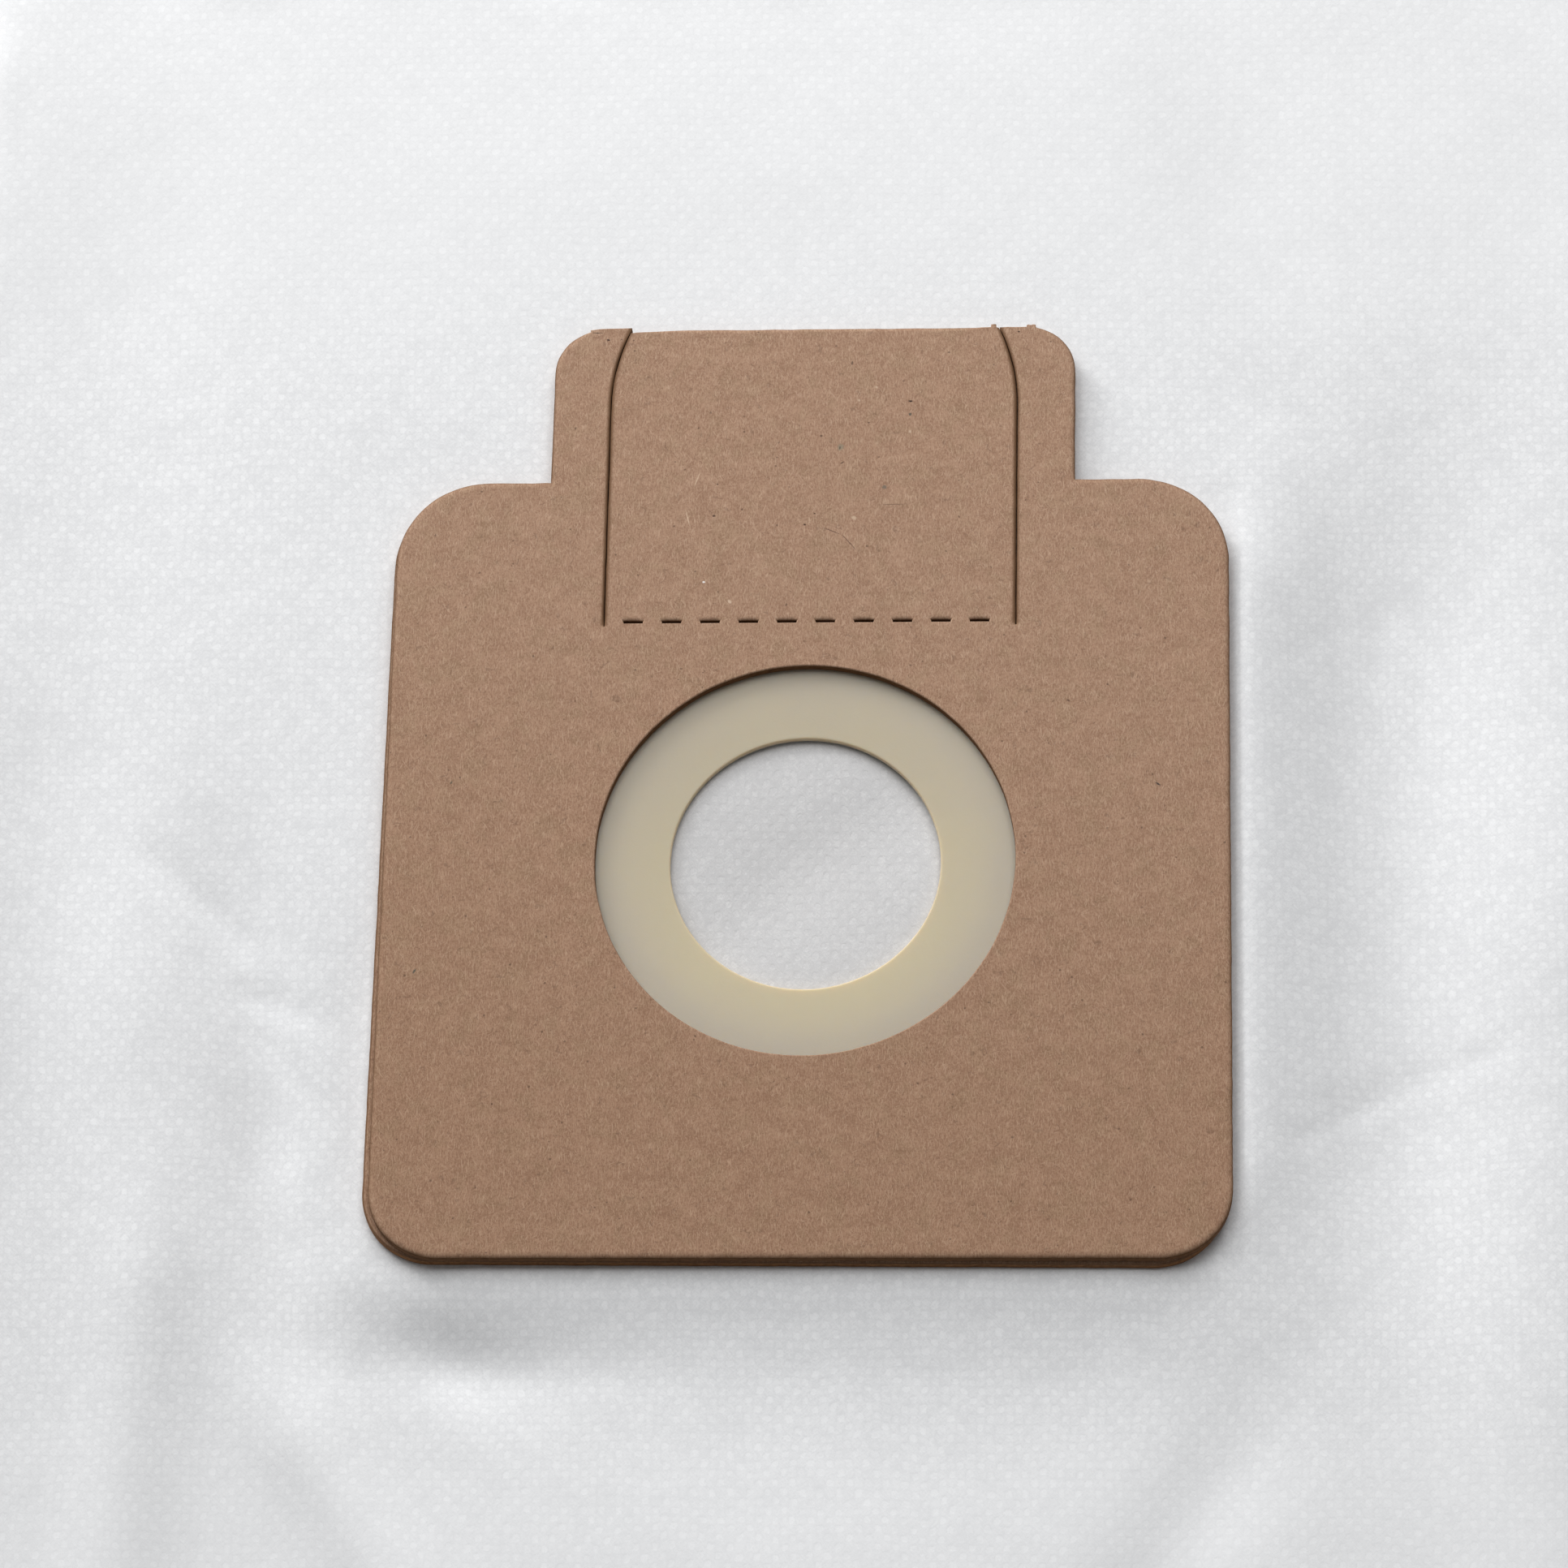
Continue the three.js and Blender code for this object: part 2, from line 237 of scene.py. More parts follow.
def makePaperFibres():
    # pressed kraft pulp: fine streaks, straight pale fibres, curved dark ones and dark bits
    group, start, end = newGroup("paperFibres", {"Place": None}, ("Tone", "Pale", "Dark", "Olive"))
    place = start.outputs["Place"]
    streaks = noiseAt(group, stretched(group, place, (4.4, 1.2, 1)), 1.0, 3.0, 0.7, 0.4)
    grain = noiseAt(group, place, 2.9, 3.0, 0.8)
    clouds = noiseAt(group, place, 0.32, 4.0, 0.62)
    tone = maths(group, "MULTIPLY_ADD", streaks, 0.40, maths(group, "MULTIPLY", grain, 0.42))
    tone = maths(group, "MULTIPLY_ADD", clouds, 0.18, tone)
    olive = fade(group, noiseAt(group, place, 0.24, 3.0, 0.6, 0.4), 0.46, 0.66)
    straws = []
    for angle, shift, thin in ((0.10, (0, 0, 0), 0.62), (-0.35, (7, 3, 1), 0.63),
                               (0.60, (19, 5, 2), 0.645), (-1.15, (31, 2, 4), 0.67)):
        straw = noiseAt(group, stretched(group, place, (6.5, 0.55, 1), angle, shift), 1.0, 1.0)
        straws.append(fade(group, straw, thin, thin + 0.06))
    pale = straws[0]
    for straw in straws[1:]:
        pale = maths(group, "MAXIMUM", pale, straw)
    # a dark fibre lies where a slow noise passes one level, but only here and there
    gate = noiseAt(group, place, 0.55, 1.0)
    wander = noiseAt(group, place, 0.5, 1.0, 0.5, 0.5)
    curl = maths(group, "ABSOLUTE", maths(group, "SUBTRACT", wander, 0.48))
    curl = maths(group, "MULTIPLY", fade(group, curl, 0.030, 0.010), fade(group, gate, 0.42, 0.34))
    bits = group.nodes.new("ShaderNodeTexVoronoi")
    plugAll(group, bits, {"Vector": place, "Scale": 0.56})
    keep = group.nodes.new("ShaderNodeSeparateColor")
    plug(group, bits.outputs["Color"], keep.inputs["Color"])
    size = fade(group, keep.outputs[0], 0.40, 1.0, 0.0, 0.11)
    ragged = maths(group, "MULTIPLY_ADD", maths(group, "SUBTRACT", grain, 0.5), 0.12,
                   bits.outputs["Distance"])
    bit = fade(group, maths(group, "SUBTRACT", ragged, size), 0.02, -0.03)
    dark = maths(group, "MAXIMUM", maths(group, "MULTIPLY", curl, 0.45), bit)
    plugAll(group, end, {"Tone": tone, "Pale": pale, "Dark": dark, "Olive": olive})
    return group


def makeBondedFibres():
    # non-woven cloth: fine fibres, and a staggered lattice of small pressed discs
    group, start, end = newGroup("bondedFibres", {"Place": None, "Pitch": (2.74, 2.9, 1.0)},
                                 ("Bond", "PitShade", "Fibre", "Cloud", "Height"))
    place = start.outputs["Place"]
    pulled = place
    for scale, amount in ((0.11, 2.4), (0.7, 0.55)):
        pull = group.nodes.new("ShaderNodeTexNoise")
        plugAll(group, pull, {"Vector": place, "Scale": scale, "Detail": 1.0})
        strain = vectorMaths(group, "SUBTRACT", pull.outputs["Color"], (0.5, 0.5, 0.5))
        pulled = vectorMaths(group, "ADD", pulled, vectorMaths(group, "SCALE", strain, scale=amount))
    cells = vectorMaths(group, "DIVIDE", pulled, start.outputs["Pitch"])
    wave = vectorMaths(group, "COSINE", vectorMaths(group, "SCALE", cells, scale=2 * math.pi))
    waveX, waveY, _ = separate(group, wave)
    rising = noiseAt(group, stretched(group, place, (4.2, 0.9, 1), 0.75), 1.0, 2.0, 0.7, 0.6)
    falling = noiseAt(group, stretched(group, place, (4.2, 0.9, 1), -0.8), 1.0, 2.0, 0.7, 0.6)
    fine = noiseAt(group, place, 3.3, 3.0, 0.85, 0.8)
    cloud = noiseAt(group, place, 0.34, 3.0, 0.6)
    lattice = maths(group, "MULTIPLY", waveX, waveY)
    lattice = maths(group, "MULTIPLY_ADD", maths(group, "SUBTRACT", fine, 0.5), 1.3, lattice)
    disc = fade(group, lattice, 0.14, 0.64)
    # painted shade: a dark ring round each pressed disc, where the pit's wall lies in shade
    ring = maths(group, "MULTIPLY", fade(group, lattice, -0.36, 0.14),
                 maths(group, "SUBTRACT", 1.0, disc))
    bond = maths(group, "MULTIPLY", disc, fade(group, cloud, 0.34, 0.60, 0.25, 1.0))
    fibre = maths(group, "MULTIPLY", maths(group, "ADD", rising, falling), 0.32)
    fibre = maths(group, "MULTIPLY_ADD", fine, 0.36, fibre)
    height = maths(group, "MULTIPLY_ADD", disc, -0.32, fibre)
    plugAll(group, end, {"Bond": bond, "PitShade": ring, "Fibre": fibre, "Cloud": cloud,
                         "Height": height})
    return group


paperFibres = makePaperFibres()
bondedFibres = makeBondedFibres()

# Finishes

kraft = {
    "colour": (0.366, 0.217, 0.139),
    "deep": (0.250, 0.139, 0.086),
    "light": (0.490, 0.316, 0.216),
    "paleFibre": (0.630, 0.445, 0.320),
    "darkBit": (0.095, 0.056, 0.038),
    "olive": (0.322, 0.220, 0.128),
    "lowPaintedShade": (0.910, 0.880, 0.845),  # painted shade: darker towards the collar's lower edge, where the light falls off
    # dark brown of the pressed rim and slits, partly painted shade
    "rim": (0.128, 0.062, 0.026),
    "grain": 0.62,  # how much of the streaks shows
    "toneLow": 0.40,
    "toneHigh": 0.60,
    "roughness": 0.88,
    "bump": 0.035,  # millimetres
    "frontRim": (0.30, 0.65),  # how far down the rim turns dark with pressing and painted shade, and how dark
    "rearRim": (0.10, 0.75),
    "slit": (32.05, 77.45, 31.875),  # as the card's: its x, where it bends, and the bend's radius
    # single flecks: x, y, half width, half height, turn, colour
    "flecks": [
        (15.3, 77.9, 0.34, 0.16, 0.1, (0.050, 0.030, 0.022)),
        (15.3, 75.6, 0.26, 0.28, 0.0, (0.130, 0.105, 0.080)),
        (4.4, 69.9, 0.52, 0.58, 0.0, (0.290, 0.228, 0.158)),
        (4.3, 69.8, 0.11, 0.30, 0.1, (0.120, 0.095, 0.070)),
        (1.3, 71.9, 0.22, 0.22, 0.0, (0.150, 0.090, 0.060)),
        (6.0, 84.7, 0.14, 0.36, 0.1, (0.150, 0.095, 0.065)),
        (-32.8, 89.1, 0.26, 0.20, 0.4, (0.080, 0.045, 0.032)),
        (32.3, 90.0, 0.20, 0.16, 0.0, (0.090, 0.055, 0.038)),
        (11.4, 62.9, 0.40, 0.34, 0.3, (0.205, 0.155, 0.115)),
        (-1.0, 56.5, 0.22, 0.17, 0.4, (0.085, 0.045, 0.030)),
        (0.5, 58.4, 0.16, 0.14, 0.0, (0.110, 0.060, 0.040)),
        (-15.3, 58.1, 0.26, 0.20, 0.2, (0.100, 0.055, 0.038)),
        (-10.9, 59.2, 0.15, 0.20, 0.5, (0.150, 0.085, 0.058)),
        (-14.9, 63.6, 0.15, 0.15, 0.0, (0.140, 0.080, 0.055)),
        (4.7, 67.2, 0.36, 0.10, -0.6, (0.130, 0.075, 0.050)),
        (3.2, 55.4, 1.50, 0.09, 0.41, (0.180, 0.104, 0.070)),
        (5.9, 53.5, 1.60, 0.09, 0.86, (0.180, 0.104, 0.070)),
        (12.8, 59.9, 2.20, 0.07, -0.02, (0.220, 0.132, 0.090)),
        (-18.1, 64.4, 0.09, 1.35, 0.32, (0.600, 0.430, 0.300)),
        (-19.4, 57.7, 0.09, 1.40, -0.26, (0.620, 0.450, 0.320)),
        (6.7, 57.6, 0.48, 0.30, 0.5, (0.540, 0.385, 0.270)),
        (54.1, 12.1, 0.16, 0.42, -0.9, (0.065, 0.050, 0.042)),
        (-59.4, -18.5, 0.18, 0.46, 0.5, (0.120, 0.105, 0.080)),
        (-54.9, 12.8, 0.16, 0.30, 0.4, (0.160, 0.120, 0.080)),
        (40.3, 26.2, 0.30, 0.18, 0.6, (0.160, 0.090, 0.060)),
        (7.2, 78.1, 0.20, 0.20, 0.0, (0.540, 0.390, 0.280)),
        (9.9, 80.4, 0.28, 0.18, 0.5, (0.540, 0.390, 0.280)),
        (15.3, 72.6, 0.22, 0.30, 0.2, (0.540, 0.390, 0.280)),
        (-16.6, 46.7, 0.22, 0.18, 0.3, (0.860, 0.820, 0.780)),
        (-12.5, 43.3, 0.42, 0.26, 0.8, (0.600, 0.440, 0.320)),
        (-34.6, 90.4, 0.80, 0.09, 0.05, (0.090, 0.055, 0.038)),
    ],
}


def makePlacedFleck():
    group, start, end = newGroup(
        "placedFleck",
        {"Place": None, "Wobble": 0.5, "Centre": None, "Half size": (0.2, 0.2, 1.0), "Turn": 0.0},
        ("Mask",),
    )
    away = vectorMaths(group, "SUBTRACT", start.outputs["Place"], start.outputs["Centre"])
    turn = group.nodes.new("ShaderNodeVectorRotate")
    turn.rotation_type = "Z_AXIS"
    plugAll(group, turn, {"Vector": vectorMaths(group, "MULTIPLY", away, (1, 1, 0)),
                          "Angle": start.outputs["Turn"]})
    scaled = vectorMaths(group, "DIVIDE", turn.outputs[0], start.outputs["Half size"])
    distance = maths(group, "MULTIPLY_ADD", maths(group, "SUBTRACT", start.outputs["Wobble"], 0.5), 1.2,
                     vectorMaths(group, "LENGTH", scaled))
    plug(group, fade(group, distance, 1.3, 0.5), end.inputs["Mask"])
    return group


placedFleck = makePlacedFleck()


def slitPressAndShade(tree, x, y):
    # darker beside both slits, which bend inward towards the tab's top: partly the die's pressing,
    # partly painted shade of the cut's groove
    aside, bendStart, bendRadius = kraft["slit"]
    bend = maths(tree, "MAXIMUM", maths(tree, "SUBTRACT", y, bendStart), 0.0)
    line = maths(tree, "MULTIPLY_ADD", maths(tree, "MULTIPLY", bend, bend), -0.5 / bendRadius,
                 aside)
    beside = maths(tree, "ABSOLUTE", maths(tree, "SUBTRACT", maths(tree, "ABSOLUTE", x), line))
    return maths(tree, "MULTIPLY", fade(tree, beside, 0.8, 0.15, 0.0, 0.9),
                 fade(tree, y, 38.9, 39.6))


def makeKraftFace(name, seedShift, top, rim, withFlecks):
    # top is the height of the card's face
    material, tree, shader = newMaterial(name)
    place = holeMillimetres(tree)
    moved = vectorMaths(tree, "ADD", place, seedShift)
    fibres = useGroup(tree, paperFibres, Place=moved)
    tone = fade(tree, fibres.outputs["Tone"], kraft["toneLow"], kraft["toneHigh"])
    colour = mixColour(tree, maths(tree, "MULTIPLY", fibres.outputs["Olive"], 0.6),
                       kraft["colour"], kraft["olive"])
    shade = mixColour(tree, tone, kraft["deep"], kraft["light"])
    colour = mixColour(tree, kraft["grain"], colour, shade)
    colour = mixColour(tree, maths(tree, "MULTIPLY", fibres.outputs["Pale"], 0.42), colour,
                       kraft["paleFibre"])
    colour = mixColour(tree, maths(tree, "MULTIPLY", fibres.outputs["Dark"], 0.6), colour,
                       kraft["darkBit"])
    x, y, z = separate(tree, place)
    # painted shade: the face is darker towards the collar's lower edge, where the light falls off
    low = fade(tree, maths(tree, "MULTIPLY_ADD", x, 0.2, y), 60, -60)
    colour = mixColour(tree, low, colour, kraft["lowPaintedShade"], "MULTIPLY")
    if withFlecks:
        wobble = noiseAt(tree, place, 3.0, 2.0)
        for fleckX, fleckY, halfWidth, halfHeight, turn, fleckColour in kraft["flecks"]:
            fleck = useGroup(tree, placedFleck, Place=place, Wobble=wobble,
                             Centre=(fleckX, fleckY, 0), Turn=turn)
            fleck.inputs["Half size"].default_value = (halfWidth, halfHeight, 1)
            colour = mixColour(tree, fleck.outputs["Mask"], colour, fleckColour)
        # painted shade beside the slits, over the die's pressing
        colour = mixColour(tree, slitPressAndShade(tree, x, y), colour, kraft["rim"])
    # the rim darkens as it falls away from the face: partly the die's pressing, partly painted shade on
    # the rounding
    fall = fade(tree, z, top - 0.035, top - rim[0], 0.0, rim[1])
    colour = mixColour(tree, fall, colour, kraft["rim"])
    rough = fade(tree, fibres.outputs["Tone"], 0.3, 0.7, kraft["roughness"] - 0.08,
                 kraft["roughness"] + 0.06)
    plugAll(tree, shader, {"Base Color": colour, "Roughness": rough, "Specular IOR Level": 0.25})
    bumped(tree, shader, fibres.outputs["Tone"], kraft["bump"])
    return material


kraftEdge = {
    "colour": (0.155, 0.074, 0.030),
    "dark": (0.078, 0.034, 0.012),
    "bump": 0.05,
}


def makeKraftEdge(name, tone):
    # where the die went through: darker, with the plies as fine lines along the edge
    material, tree, shader = newMaterial(name)
    # tone scales the edge colour; above 1 it is painted light
    dark, pale = [tuple(tone * c for c in kraftEdge[key]) for key in ("dark", "colour")]
    place = holeMillimetres(tree)
    plies = noiseAt(tree, stretched(tree, place, (0.9, 0.9, 4.0)), 1.0, 2.0, 0.6, 0.3)
    torn = noiseAt(tree, place, 1.6, 3.0, 0.6)
    mixed = maths(tree, "MULTIPLY_ADD", plies, 0.6, maths(tree, "MULTIPLY", torn, 0.4))
    colour = mixColour(tree, fade(tree, mixed, 0.35, 0.65), dark, pale)
    plugAll(tree, shader, {"Base Color": colour, "Roughness": 0.9, "Specular IOR Level": 0.2})
    bumped(tree, shader, mixed, kraftEdge["bump"])
    return material


rubber = {
    "colour": (0.500, 0.436, 0.330),
    "grey": (0.453, 0.400, 0.320),
    "yellow": (0.558, 0.484, 0.320),
    "lip": (0.600, 0.490, 0.340),  # painted light: lighter at the thin lip, for light that passes through it at the hole
    "roughness": 0.5,
    "bump": 0.012,
    "translucence": 0.5,
}


def makeRubberFinish():
    material, tree, shader = newMaterial("creamRubber")
    place = holeMillimetres(tree)
    flat = vectorMaths(tree, "MULTIPLY", place, (1, 1, 0))
    radius = vectorMaths(tree, "LENGTH", flat)
    cloud = noiseAt(tree, place, 0.09, 2.0, 0.5)
    inward = fade(tree, radius, 31.0, 21.0)
    low = fade(tree, separate(tree, place)[1], 25.0, -30.0)
    warm = maths(tree, "MULTIPLY", inward, maths(tree, "MULTIPLY_ADD", low, 0.7, 0.3))
    warm = maths(tree, "MULTIPLY_ADD", maths(tree, "SUBTRACT", cloud, 0.5), 0.5, warm, clamp=True)
    colour = mixColour(tree, fade(tree, radius, 26.0, 32.0, 0.0, 0.8), rubber["colour"],
                       rubber["grey"])
    colour = mixColour(tree, warm, colour, rubber["yellow"])
    # painted light: the lip at the hole is lighter
    colour = mixColour(tree, fade(tree, radius, 21.15, 20.9), colour, rubber["lip"])
    dust = noiseAt(tree, place, 2.2, 3.0, 0.6)
    rough = fade(tree, dust, 0.3, 0.7, rubber["roughness"] - 0.06, rubber["roughness"] + 0.08)
    plugAll(tree, shader, {
        "Base Color": colour, "Roughness": rough, "Specular IOR Level": 0.35,
        "Subsurface Weight": rubber["translucence"], "Subsurface Radius": (1.0, 0.7, 0.4),
        "Subsurface Scale": 0.0025,
    })
    grain = maths(tree, "MULTIPLY_ADD", noiseAt(tree, place, 6.0, 2.0), 0.4, dust)
    bumped(tree, shader, grain, rubber["bump"])
    return material


nonWoven = {
    "colour": (0.864, 0.870, 0.879),
    "bondColour": (0.905, 0.911, 0.921),
    "shade": (0.774, 0.780, 0.792),
    "roughness": 0.95,
    "bump": 0.03,
    "rearPaintedShade": (0.890, 0.876, 0.866),  # painted shade: the rear panel inside the bag is a greyer copy of the same cloth
}


def makeNonWoven(name, bump, contrast, discs, seedShift, tone=(1, 1, 1), glow=0.0):
    material, tree, shader = newMaterial(name)
    base, bond, shaded = [tuple(c * t for c, t in zip(nonWoven[key], tone))
                          for key in ("colour", "bondColour", "shade")]
    place = vectorMaths(tree, "ADD", holeMillimetres(tree), seedShift)
    cloth = useGroup(tree, bondedFibres, Place=place)
    density = maths(tree, "MULTIPLY_ADD", cloth.outputs["Fibre"], 0.8,
                    maths(tree, "MULTIPLY", cloth.outputs["Cloud"], 0.2))
    # the pattern is plainest beside the collar and softer above and below it
    along = maths(tree, "ABSOLUTE", separate(tree, place)[1])
    plain = fade(tree, along, 115, 70, 0.5, 1.0)
    shade = fade(tree, density, 0.57, 0.43, 0.0, contrast)
    # painted shade round the pressed discs darkens the cloth
    shade = maths(tree, "MULTIPLY_ADD", cloth.outputs["PitShade"], 0.25 * contrast, shade)
    colour = mixColour(tree, maths(tree, "MULTIPLY", shade, plain), base, shaded)
    spots = maths(tree, "MULTIPLY", cloth.outputs["Bond"], maths(tree, "MULTIPLY", plain, discs))
    colour = mixColour(tree, spots, colour, bond)
    rough = fade(tree, cloth.outputs["Bond"], 0.0, 1.0, nonWoven["roughness"], 0.6)
    plugAll(tree, shader, {
        "Base Color": colour, "Roughness": rough, "Specular IOR Level": 0.2,
        "Subsurface Weight": glow, "Subsurface Radius": (1.0, 1.0, 1.0),
        "Subsurface Scale": 0.003, "Sheen Weight": 0.08, "Sheen Roughness": 0.5,
    })
    bumped(tree, shader, cloth.outputs["Height"], bump)
    return material


weld = {"colour": (0.80, 0.81, 0.825), "pitch": 1.1, "bump": 0.12}


def makeWeldFinish():
    # the panels melted together under a ribbed tool
    material, tree, shader = newMaterial("weldedBand")
    place = holeMillimetres(tree)
    cells = vectorMaths(tree, "SCALE", place, scale=2 * math.pi / weld["pitch"])
    waveX, waveY, _ = separate(tree, vectorMaths(tree, "COSINE", cells))
    pressed = fade(tree, maths(tree, "MULTIPLY", waveX, waveY), -0.3, 0.6)
    fibres = useGroup(tree, bondedFibres, Place=place)
    colour = mixColour(tree, fibres.outputs["Fibre"], nonWoven["shade"], weld["colour"])
    rough = fade(tree, pressed, 0.0, 1.0, 0.8, 0.5)
    plugAll(tree, shader, {"Base Color": colour, "Roughness": rough})
    height = maths(tree, "MULTIPLY_ADD", fibres.outputs["Fibre"], 0.2, pressed)
    bumped(tree, shader, height, weld["bump"])
    return material


kraftFaceFinish = makeKraftFace("kraftFrontFace", (0, 0, 0), collarTop, kraft["frontRim"], True)
kraftRearFinish = makeKraftFace("kraftRearFace", (83, 41, 7), frontCardBase, kraft["rearRim"], False)
frontEdgeFinish = makeKraftEdge("kraftFrontEdge", 1.0)
# painted light: the rear card's cut edge is the same finish made lighter, for its lit rim
rearEdgeLitFinish = makeKraftEdge("kraftRearEdgePaintedLight", 1.8)
rubberFinish = makeRubberFinish()
frontClothFinish = makeNonWoven("nonWovenFront", nonWoven["bump"], 1.0, 0.42, (0, 0, 0))
# the rear panel's greyer tone is painted shade
rearClothFinish = makeNonWoven("nonWovenRear", nonWoven["bump"] * 2.2, 1.6, 0.05, (0.9, 0.4, 12),
                               nonWoven["rearPaintedShade"], 0.25)
weldFinish = makeWeldFinish()
print("finishes ready")

# The cloth panels

bag = {
    "halfWidth": 150,
    "top": 172,
    "bottom": -208,
    "thickness": 0.6,
    "weldWidth": 8,
    "weldThickness": 0.8,
    "weldRun": 3,  # over which the cloth leaves the weld
    "underCollar": 4.6,
    "puff": 4.6,
    "puffRun": 8,
    "leastGap": 0.4,
    "shoulderEase": 0.5,
    "shoulderRun": 18,
    "cushionRun": 0.7,
    "clothHole": 30,
    "puckerHeight": 0.5,
    "puckerPitch": 13,
    "unevenness": ((42, 0.27, 11), (17, 0.10, 12), (7, 0.03, 13)),  # size, height and seed
}

collar = {
    "halfWidth": 65,
    "low": -64.75,
    "shoulder": 64.2,
    "tabTop": 90.95,
    "tabHalf": 41.1,
    "bottomRadius": 11,
    "shoulderRadius": 14,
    "tabRadius": 7.5,
}

# Soft folds of the front panel: from, to, width and height, valleys below zero
frontFolds = [
    ((91, 34), (92, -38), 15, -4.0),
    ((104, 72), (100, 40), 16, -0.8),
    ((-65, -68), (-54, -76), 7, -1.6),
    ((-52, -79), (-38, -79), 7, -0.9),
    ((-40, -89), (34, -87), 20, -1.5),
    ((-88, -8), (-81, -36), 8, -1.6),
    ((-80, -50), (-75, -66), 6.5, -1.4),
    ((-99, -70), (-102, -130), 8, 1.8),
    ((-72, -94), (-56, -120), 7, 2.4),
    ((62, -100), (48, -122), 8, -1.1),
    ((116, -16), (114, -130), 16, 2.6),
    ((-114, 90), (-116, 24), 18, -1.8),
    ((-136, 14), (-134, -20), 13, 2.6),
    ((-104, -26), (-102, -44), 10, 1.2),
    ((114, 150), (126, 120), 14, -1.6),
    ((66, 112), (76, 80), 10, -1.0),
    ((0, -118), (30, -150), 22, 1.1),
]

# Where the soft cloth stands up beside the collar
frontCushions = [
    ((67.5, 44), (67.5, -47), 6.5, 1.9),
    ((-68, 40), (-68, 0), 6, 0.25),
    ((-68, -24), (-68, -50), 5, -0.5),
    ((-48, -67.5), (50, -67.5), 4.5, 0.65),
]

# Narrow creases, which only the dressed cloth has
frontCreases = [
    ((69, -48), (85, -39), 1.6, -0.20),
    ((85, -39), (103, -31), 1.8, -0.15),
    ((103, -31), (116, -27), 2.2, -0.10),
    ((80, -38), (93, -33), 1.6, -0.13),
    ((-100, 1), (-87, -11), 2.0, -0.45),
    ((-84, -21), (-69, -27), 1.7, -0.55),
    ((-83, -28), (-72, -40), 1.9, -0.30),
    ((73.5, 34), (77.5, 37.5), 1.7, -0.15),
]

rearSwell = {"flat": 18, "radius": 54, "gap": 0.1, "fold": ((-24, -20), (30, 22), 9, -0.7)}


def foldHeight(folds, x, y):
    # each fold fades over its width to the sides, and more slowly past its ends
    total = np.zeros_like(x)
    for (ax, ay), (bx, by), width, height in folds:
        length = math.hypot(bx - ax, by - ay)
        dx = (bx - ax) / length
        dy = (by - ay) / length
        along = (x - ax) * dx + (y - ay) * dy
        across = ((x - ax) * dy - (y - ay) * dx) / width
        beyond = np.maximum(np.maximum(-along, along - length), 0) / (2.2 * width)
        total += height * np.exp(-across * across - beyond * beyond)
    return total


def boxDistance(x, y, half, low, high):
    outX = np.maximum(np.abs(x) - half, 0)
    outY = np.maximum(np.maximum(low - y, y - high), 0)
    return np.hypot(outX, outY)


def collarDistance(x, y):
    ease = bag["shoulderEase"]
    low = collar["low"] - ease
    body = boxDistance(x, y, collar["halfWidth"] + ease, low, collar["shoulder"] + ease)
    tab = boxDistance(x, y, collar["tabHalf"] + ease, low, collar["tabTop"] + ease)
    return np.minimum(body, tab)


def weldDistance(x, y):
    sideways = bag["halfWidth"] - bag["weldWidth"] - np.abs(x)
    above = bag["top"] - bag["weldWidth"] - y
    below = y - bag["bottom"] - bag["weldWidth"]
    return np.minimum(sideways, np.minimum(above, below))


def pucker(x, y):
    # small gathers that run in from the weld
    inside = weldDistance(x, y)
    alongX = softNoise(y, x * 0.2, bag["puckerPitch"], 5)
    alongY = softNoise(x, y * 0.2, bag["puckerPitch"], 6)
    nearSide = bag["halfWidth"] - np.abs(x) < np.minimum(bag["top"] - y, y - bag["bottom"])
    run = np.where(nearSide, alongX, alongY)
    strength = softStep(inside / 5) * (1 - softStep((inside - 5) / 9))
    return bag["puckerHeight"] * run * strength


def frontLift(x, y):
    inside = weldDistance(x, y)
    rise = softStep(inside / bag["puffRun"])
    nearCollar = 1 - softStep(collarDistance(x, y) / bag["shoulderRun"])
    soft = sum(height * softNoise(x, y, size, seed) for size, height, seed in bag["unevenness"])
    free = (bag["puff"] + foldHeight(frontFolds + frontCreases, x, y) + soft) * rise
    free += pucker(x, y)
    lift = free + (bag["underCollar"] - free) * nearCollar
    lift += foldHeight(frontCushions, x, y) * softStep(collarDistance(x, y) / bag["cushionRun"])
    return np.maximum(lift, bag["leastGap"])


def rearLift(x, y):
    outward = (np.hypot(x, y) - rearSwell["flat"]) / (rearSwell["radius"] - rearSwell["flat"])
    top = sealBase - rearSwell["gap"] - bag["thickness"]
    soft = 0.12 * softNoise(x, y, 12, 21)
    return (top - 0.15 + foldHeight([rearSwell["fold"]], x, y) + soft) * (1 - softStep(outward))


def betweenWeld(inWeld, inside, x, y):
    # from the flat weld to the free cloth over a short run
    share = softStep((weldDistance(x, y) + 0.5) / bag["weldRun"])
    return inWeld + (inside - inWeld) * share


def splitLines(stops, cells):
    lines = [stops[0]]
    for first, last, cell in zip(stops[:-1], stops[1:], cells):
        steps = max(math.ceil((last - first) / cell), 1)
        lines += [first + (last - first) * k / steps for k in range(1, steps + 1)]
    return np.array(lines)


